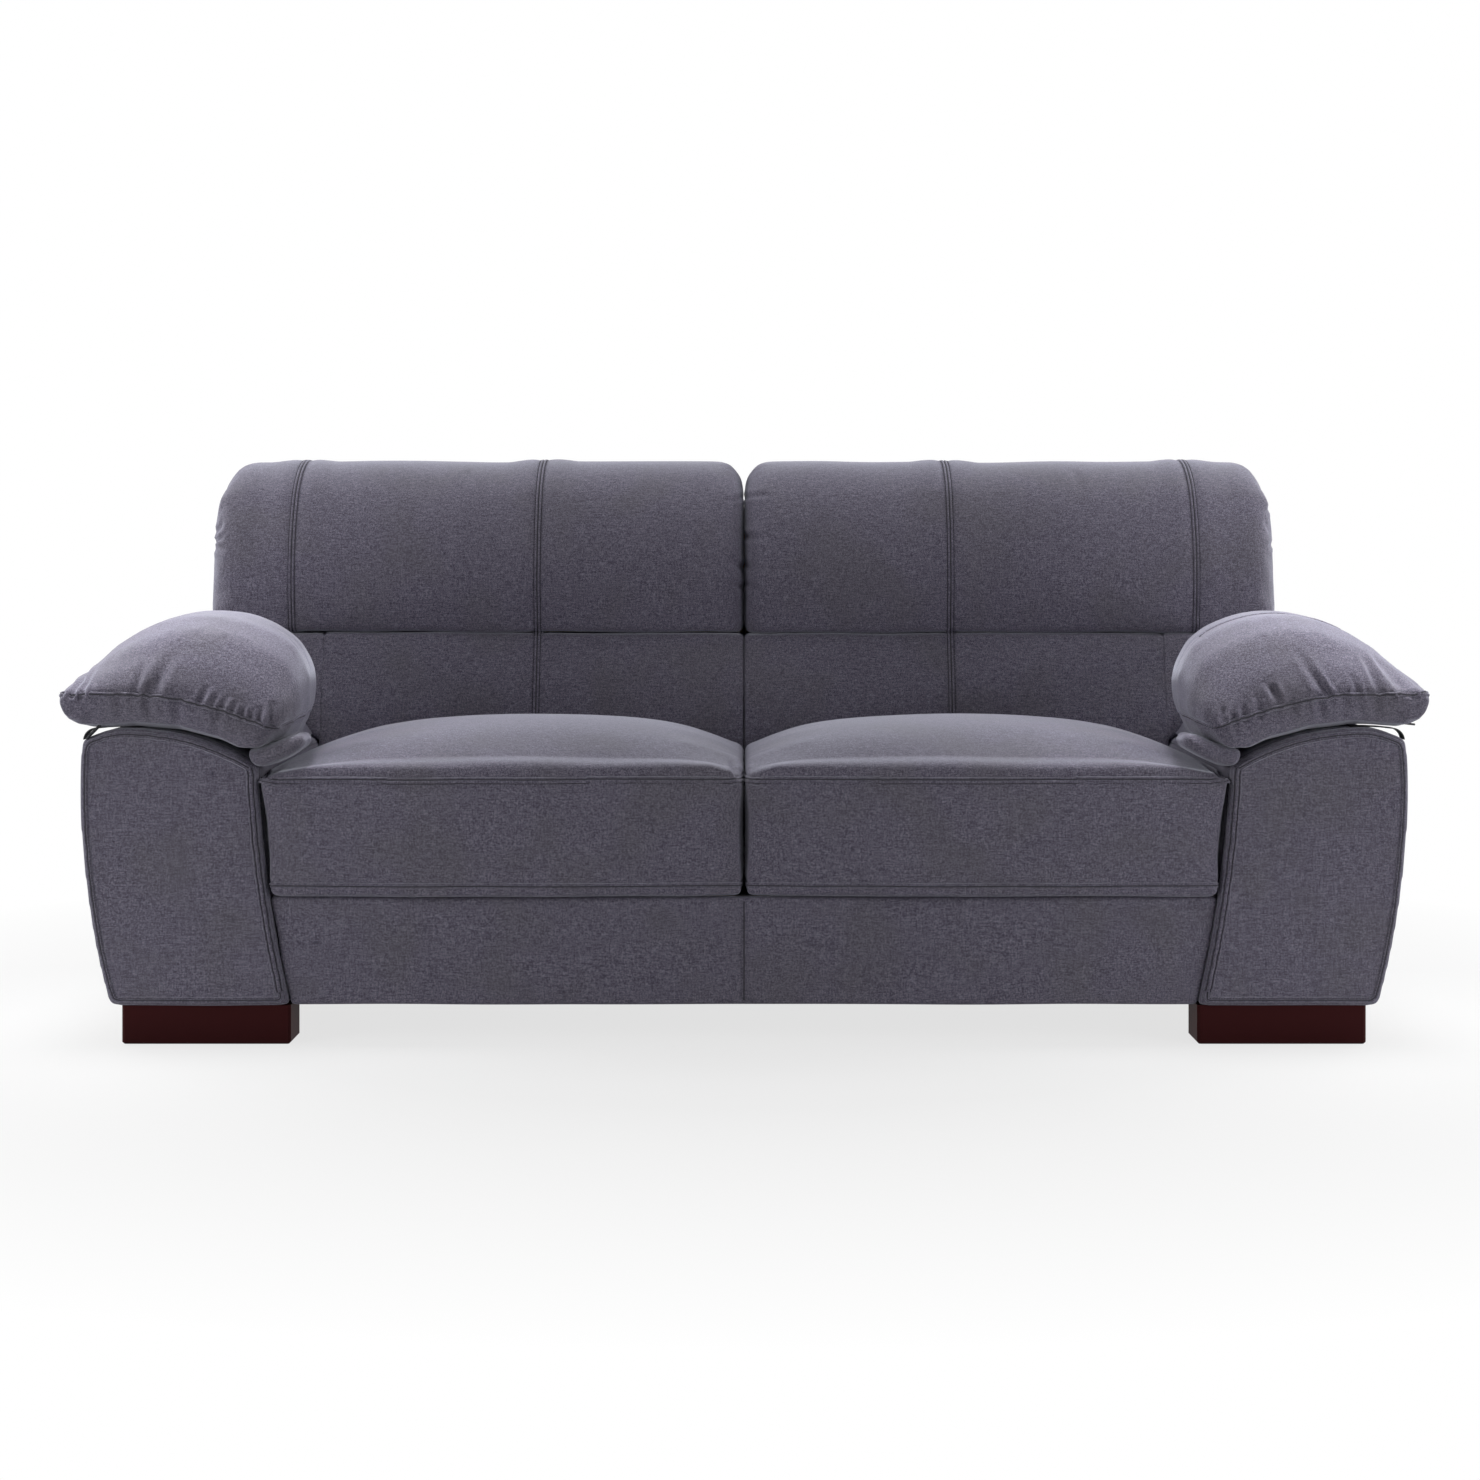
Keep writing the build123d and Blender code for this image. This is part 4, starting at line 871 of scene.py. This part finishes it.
# Arm pads: fibre pillows strapped on the arms, of a top and a bottom panel sewn together all
# round, the top one gathered along the front.
pad_seam = ((-1.049, 0.11, 0.536), (-1.049, -0.3, 0.536), (-1.047, -0.44, 0.536),
            (-1.03, -0.465, 0.538), (-1.0027, -0.465, 0.5402), (-0.9001, -0.465, 0.5387),
            (-0.8526, -0.465, 0.5295), (-0.796, -0.465, 0.5157), (-0.745, -0.462, 0.4965),
            (-0.722, -0.445, 0.4915), (-0.69, -0.4, 0.494), (-0.68, -0.335, 0.4965),
            (-0.692, -0.206, 0.498), (-0.719, -0.03, 0.499), (-0.742, 0.089, 0.5),
            (-0.756, 0.12, 0.5))
pad_folds = {
    "left": ((-1.0247, 0.5397, -1.019, 0.5658, 5, 5), (-1.019, 0.562, -1.026, 0.58, 3, 6),
             (-1.0116, 0.5376, -1.004, 0.58, 4, 5), (-0.9278, 0.5397, -0.9223, 0.5877, 4, 6),
             (-0.9056, 0.541, -0.874, 0.606, 6, 9), (-0.8925, 0.5431, -0.8946, 0.5692, 3, 5),
             (-0.8293, 0.5301, -0.82, 0.555, 4, 5), (-0.8126, 0.5245, -0.8, 0.545, 4, 5),
             (-0.7995, 0.5208, -0.79, 0.54, 4, 5), (-0.7828, 0.5133, -0.775, 0.53, 3.5, 4.5),
             (-0.7679, 0.5078, -0.762, 0.525, 3.5, 4.5), (-0.753, 0.5041, -0.748, 0.521, 3.5, 4.5),
             (-0.7418, 0.4985, -0.7345, 0.524, 4, 4.5), (-0.7233, 0.491, -0.7215, 0.53, 5, 5),
             (-0.911, 0.534, -0.906, 0.497, 4, 7), (-0.862, 0.53, -0.868, 0.488, 4.5, 8),
             (-0.80, 0.515, -0.81, 0.475, 3.5, 7), (-0.955, 0.536, -0.951, 0.505, 2.5, 7)),
    "right": ((0.8066, 0.5505, 0.8196, 0.52, 6, 6), (0.7472, 0.506, 0.7527, 0.4875, 4, 4.5),
              (0.732, 0.515, 0.7297, 0.495, 4, 4.5), (0.788, 0.507, 0.783, 0.545, 4, 5),
              (0.8849, 0.5394, 0.85, 0.61, 5, 7), (0.8922, 0.5394, 0.87, 0.575, 3.5, 5),
              (0.9369, 0.54, 0.931, 0.572, 4, 5), (0.9704, 0.541, 0.953, 0.61, 4.5, 6),
              (1.0075, 0.541, 0.97, 0.61, 5, 7), (1.02, 0.54, 0.99, 0.592, 4, 6),
              (1.0447, 0.563, 1.022, 0.584, 4, 6), (0.876, 0.536, 0.886, 0.495, 5, 6.5),
              (0.9591, 0.5397, 0.972, 0.498, 3.5, 7), (0.765, 0.502, 0.762, 0.528, 3.5, 4.5),
              (0.835, 0.53, 0.84, 0.49, 3.5, 7), (0.915, 0.536, 0.92, 0.5, 3, 7)),
}
top_join = ((0.75, 0.6), (0.768, 0.622), (0.79, 0.635), (0.8236, 0.647), (0.881, 0.658),
            (0.937, 0.6566), (0.96, 0.65))
tail_line = (  # place across, height, thickness and half its length, ring by ring
    (0.7605, 0.445, 0.006, 0.03), (0.7585, 0.4452, 0.018, 0.041), (0.755, 0.4458, 0.026, 0.045),
    (0.747, 0.4465, 0.029, 0.046), (0.735, 0.449, 0.029, 0.046), (0.72, 0.4545, 0.028, 0.046),
    (0.705, 0.4615, 0.027, 0.045), (0.69, 0.469, 0.025, 0.043), (0.679, 0.4745, 0.02, 0.04),
    (0.674, 0.477, 0.008, 0.034))
pad_seam_z = 0.536
wedge = 0.12  # the pad's outer edge narrows towards its seam by this share
lifted_z = 0.459  # least height of the pad's inner front end,
lifted_x = 0.745  # which rises inwards from here
for side, out in sides:
    arm_pad = skin_of("pad_" + side, "arm_pad_" + side, 0.0055)
    rounded(arm_pad, 22)
    filled(arm_pad, "arm_pad_" + side)
    swelled(arm_pad, lambda co, no: (no[:, 2] < -0.5) | (abs(co[:, 2] - pad_seam_z) < 0.004)
            & (abs(co[:, 0]) > 0.88) | (co[:, 1] > 0.11), 0.005, 0.012)
    fitted(arm_pad, "arm_pad_" + side, lambda place, normal: 0.004 * max(0, normal[2] + 0.3))
    rumpled(arm_pad, 0.003, (0.12, 0.12, 0.12))
    refined(arm_pad)
    co, _ = points_of(arm_pad)
    across = abs(co[:, 0])
    edge = np.clip((across - 0.985) / 0.065, 0, 1)
    co[:, 2] -= (co[:, 2] - pad_seam_z) * wedge * edge**1.2
    lifted = np.clip((0.79 - across) / 0.03, 0, 1) * np.clip((-0.36 - co[:, 1]) / 0.04, 0, 1)
    least = lifted_z + 0.4 * np.clip(lifted_x - across, 0, 1)
    co[:, 2] += np.maximum(least - co[:, 2], 0) * 0.85 * lifted
    move_points(arm_pad, co)
    worked_up(arm_pad, lambda p: p.y < -0.415 and p.z > 0.475)
    path = [Vector((-out * x, y, z)) for x, y, z in pad_seam]
    path, _ = laid_on(arm_pad, eased(spaced(path, 0.006), 8))
    tip = [p for p in path if abs(p.x) > 1.0 and p.y < -0.3]
    drawn_in(arm_pad, tip, -0.006, 0.016)
    creased(arm_pad, pad_folds[side])
    drawn_in(arm_pad, path, 0.003, 0.006)
    sewn("seam_pad_" + side, arm_pad, path, pad_edge, "sofa_frame", lift=1.6)
    if side == "right":
        join = [Vector((x, -0.28, z)) for x, z in top_join]
        drawn_in(arm_pad, join, 0.0015, 0.005)
        sewn("seam_pad_top_right", arm_pad, eased(spaced(join, 0.006), 10), pad_edge, "sofa_frame",
             lift=0.3)
    dress(arm_pad, "sofa_frame")
    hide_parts("arm_pad_" + side)

    # Its tail: a padded tab that comes out under the inner end and is tucked in by the cushion.
    tail = bmesh.new()
    rings = []
    for x, z, thick, front in tail_line:
        ring = bmesh.ops.create_circle(tail, segments=28, radius=1)["verts"]
        for vertex in ring:
            a, b = vertex.co.x, vertex.co.y
            vertex.co = (out * (x + b * thick * 0.25),
                         -0.405 + front * math.copysign(abs(a) ** 0.5, a),
                         z - 0.005 + math.copysign(abs(b) ** 0.8, b) * thick / 2)
        rings.append([e for e in {e for v in ring for e in v.link_edges}])
    for a, b in zip(rings, rings[1:]):
        bmesh.ops.bridge_loops(tail, edges=a + b)
    bmesh.ops.holes_fill(tail, edges=rings[0] + rings[-1], sides=0)
    bmesh.ops.recalc_face_normals(tail, faces=tail.faces)
    mesh = bpy.data.meshes.new("pad_tail_" + side)
    tail.to_mesh(mesh)
    tail.free()
    tail = bpy.data.objects.new("pad_tail_" + side, mesh)
    bpy.context.scene.collection.objects.link(tail)
    refined(tail)
    refined(tail)
    rumpled(tail, 0.002, (0.03, 0.03, 0.03))
    dress(tail, "sofa_frame")

# Strap ends: the elastic straps under the arm pads come out at the arms' outer front corners,
# where they are cut off and narrow to a tip.
for side, (x0, z0), (x1, z1) in (("left", (-0.985, 0.496), (-1.011, 0.47)),
                                 ("right", (0.992, 0.497), (1.031, 0.4925))):
    strap = bmesh.new()
    bmesh.ops.create_cube(strap, size=1)
    lie = Vector((x1 - x0, 0, z1 - z0))
    bmesh.ops.scale(strap, vec=(lie.length, 0.014, 0.003), verts=strap.verts)
    lengthwise = [e for e in strap.edges if abs((e.verts[0].co - e.verts[1].co).x) > 0.01]
    bmesh.ops.subdivide_edges(strap, edges=lengthwise, cuts=3)
    for vertex in strap.verts:
        if vertex.co.x > 0.4 * lie.length:
            vertex.co.y *= 0.35
    bmesh.ops.bevel(strap, geom=strap.edges, offset=0.0006, segments=1, affect="EDGES", profile=0.5,
                    material=-1)
    tilt = Matrix.Rotation(-math.atan2(lie.z, lie.x), 3, "Y")
    bmesh.ops.rotate(strap, cent=(0, 0, 0), matrix=tilt, verts=strap.verts)
    bmesh.ops.translate(strap, vec=((x0 + x1) / 2, -0.434, (z0 + z1) / 2), verts=strap.verts)
    bmesh.ops.recalc_face_normals(strap, faces=strap.faces)
    mesh = bpy.data.meshes.new("strap_end_" + side)
    strap.to_mesh(mesh)
    strap.free()
    strap = bpy.data.objects.new("strap_end_" + side, mesh)
    bpy.context.scene.collection.objects.link(strap)
    mesh.materials.append(elastic_tape)
    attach(strap, "sofa_frame")

# Studio: a pale floor that runs out to a white backdrop, a broad soft lamp overhead, two at each
# side, a small gridded one over each arm pad, and an even surround. Seen, the floor is white away
# from the sofa.


def seen_alone(tree):
    """One for rays that show a surface, and none for those that light by it."""
    path = put(tree, "ShaderNodeLightPath")
    seen = put(tree, "ShaderNodeMath", {0: path.outputs["Is Camera Ray"],
               1: path.outputs["Is Glossy Ray"]}, operation="MAXIMUM")
    return put(tree, "ShaderNodeMath", {0: seen.outputs[0],
               1: path.outputs["Is Transmission Ray"]}, operation="MAXIMUM").outputs[0]


bpy.ops.mesh.primitive_plane_add(size=40, location=(0, 0, -0.0005))
floor = bpy.context.object
floor.name = "studio_floor"
pale, tree, shader, place = surface("pale_studio_floor")
shader.inputs["Base Color"].default_value = linear("#c4c4c4")
shader.inputs["Roughness"].default_value = 0.9
seen = seen_alone(tree)
distance = put(tree, "ShaderNodeVectorMath", {0: place.outputs["Object"]}, operation="LENGTH")
white = put(tree, "ShaderNodeMapRange", {0: distance.outputs["Value"], 1: 0.9, 2: 2.0, 3: 0.74,
            4: 1.0})
white = put(tree, "ShaderNodeMath", {0: white.outputs[0], 1: seen}, operation="MULTIPLY")
glow = put(tree, "ShaderNodeEmission", {0: (1, 1, 1, 1), 1: 1.0})
both = put(tree, "ShaderNodeMixShader", {0: white.outputs[0], 1: shader.outputs[0],
           2: glow.outputs[0]})
tree.links.new(both.outputs[0], tree.nodes["Material Output"].inputs[0])
floor.data.materials.append(pale)

for name, power, spread, size, location, turn in (
    ("overhead_lamp", 24, 180, (3.0, 1.2), (0, 0.5, 2.6), (0, 0, 0)),
    ("left_high_lamp", 24, 180, (1.2, 1.0), (-1.8, 0.6, 1.6), (-12, -50, 0)),
    ("right_high_lamp", 24, 180, (1.2, 1.0), (1.8, 0.6, 1.6), (-12, 50, 0)),
    ("left_low_lamp", 45, 180, (1.6, 1.6), (-3.1, -2.2, 1.0), (84, 0, -55)),
    ("right_low_lamp", 45, 180, (1.6, 1.6), (3.1, -2.2, 1.0), (84, 0, 55)),
    ("left_pad_lamp", 2.6, 50, (0.5, 0.5), (-0.95, -0.28, 1.8), (0, 0, 0)),
    ("right_pad_lamp", 2.6, 50, (0.5, 0.5), (0.95, -0.28, 1.8), (0, 0, 0)),
):
    lamp = bpy.data.lights.new(name, "AREA")
    lamp.shape = "RECTANGLE"
    lamp.size, lamp.size_y = size
    lamp.energy = power
    lamp.spread = math.radians(spread)
    holder = bpy.data.objects.new(name, lamp)
    holder.location = location
    holder.rotation_euler = [math.radians(angle) for angle in turn]
    bpy.context.scene.collection.objects.link(holder)

surround = bpy.data.worlds.new("white_surround")
surround.use_nodes = True
tree = surround.node_tree
tree.nodes.clear()
seen = seen_alone(tree)
glow = put(tree, "ShaderNodeBackground", {0: (1, 1, 1, 1), 1: 0.06})
backdrop = put(tree, "ShaderNodeBackground", {0: (1, 1, 1, 1), 1: 1.0})
both = put(tree, "ShaderNodeMixShader", {0: seen, 1: glow.outputs[0], 2: backdrop.outputs[0]})
put(tree, "ShaderNodeOutputWorld", {0: both.outputs[0]})
bpy.context.scene.world = surround
bpy.context.scene.view_settings.view_transform = "Standard"
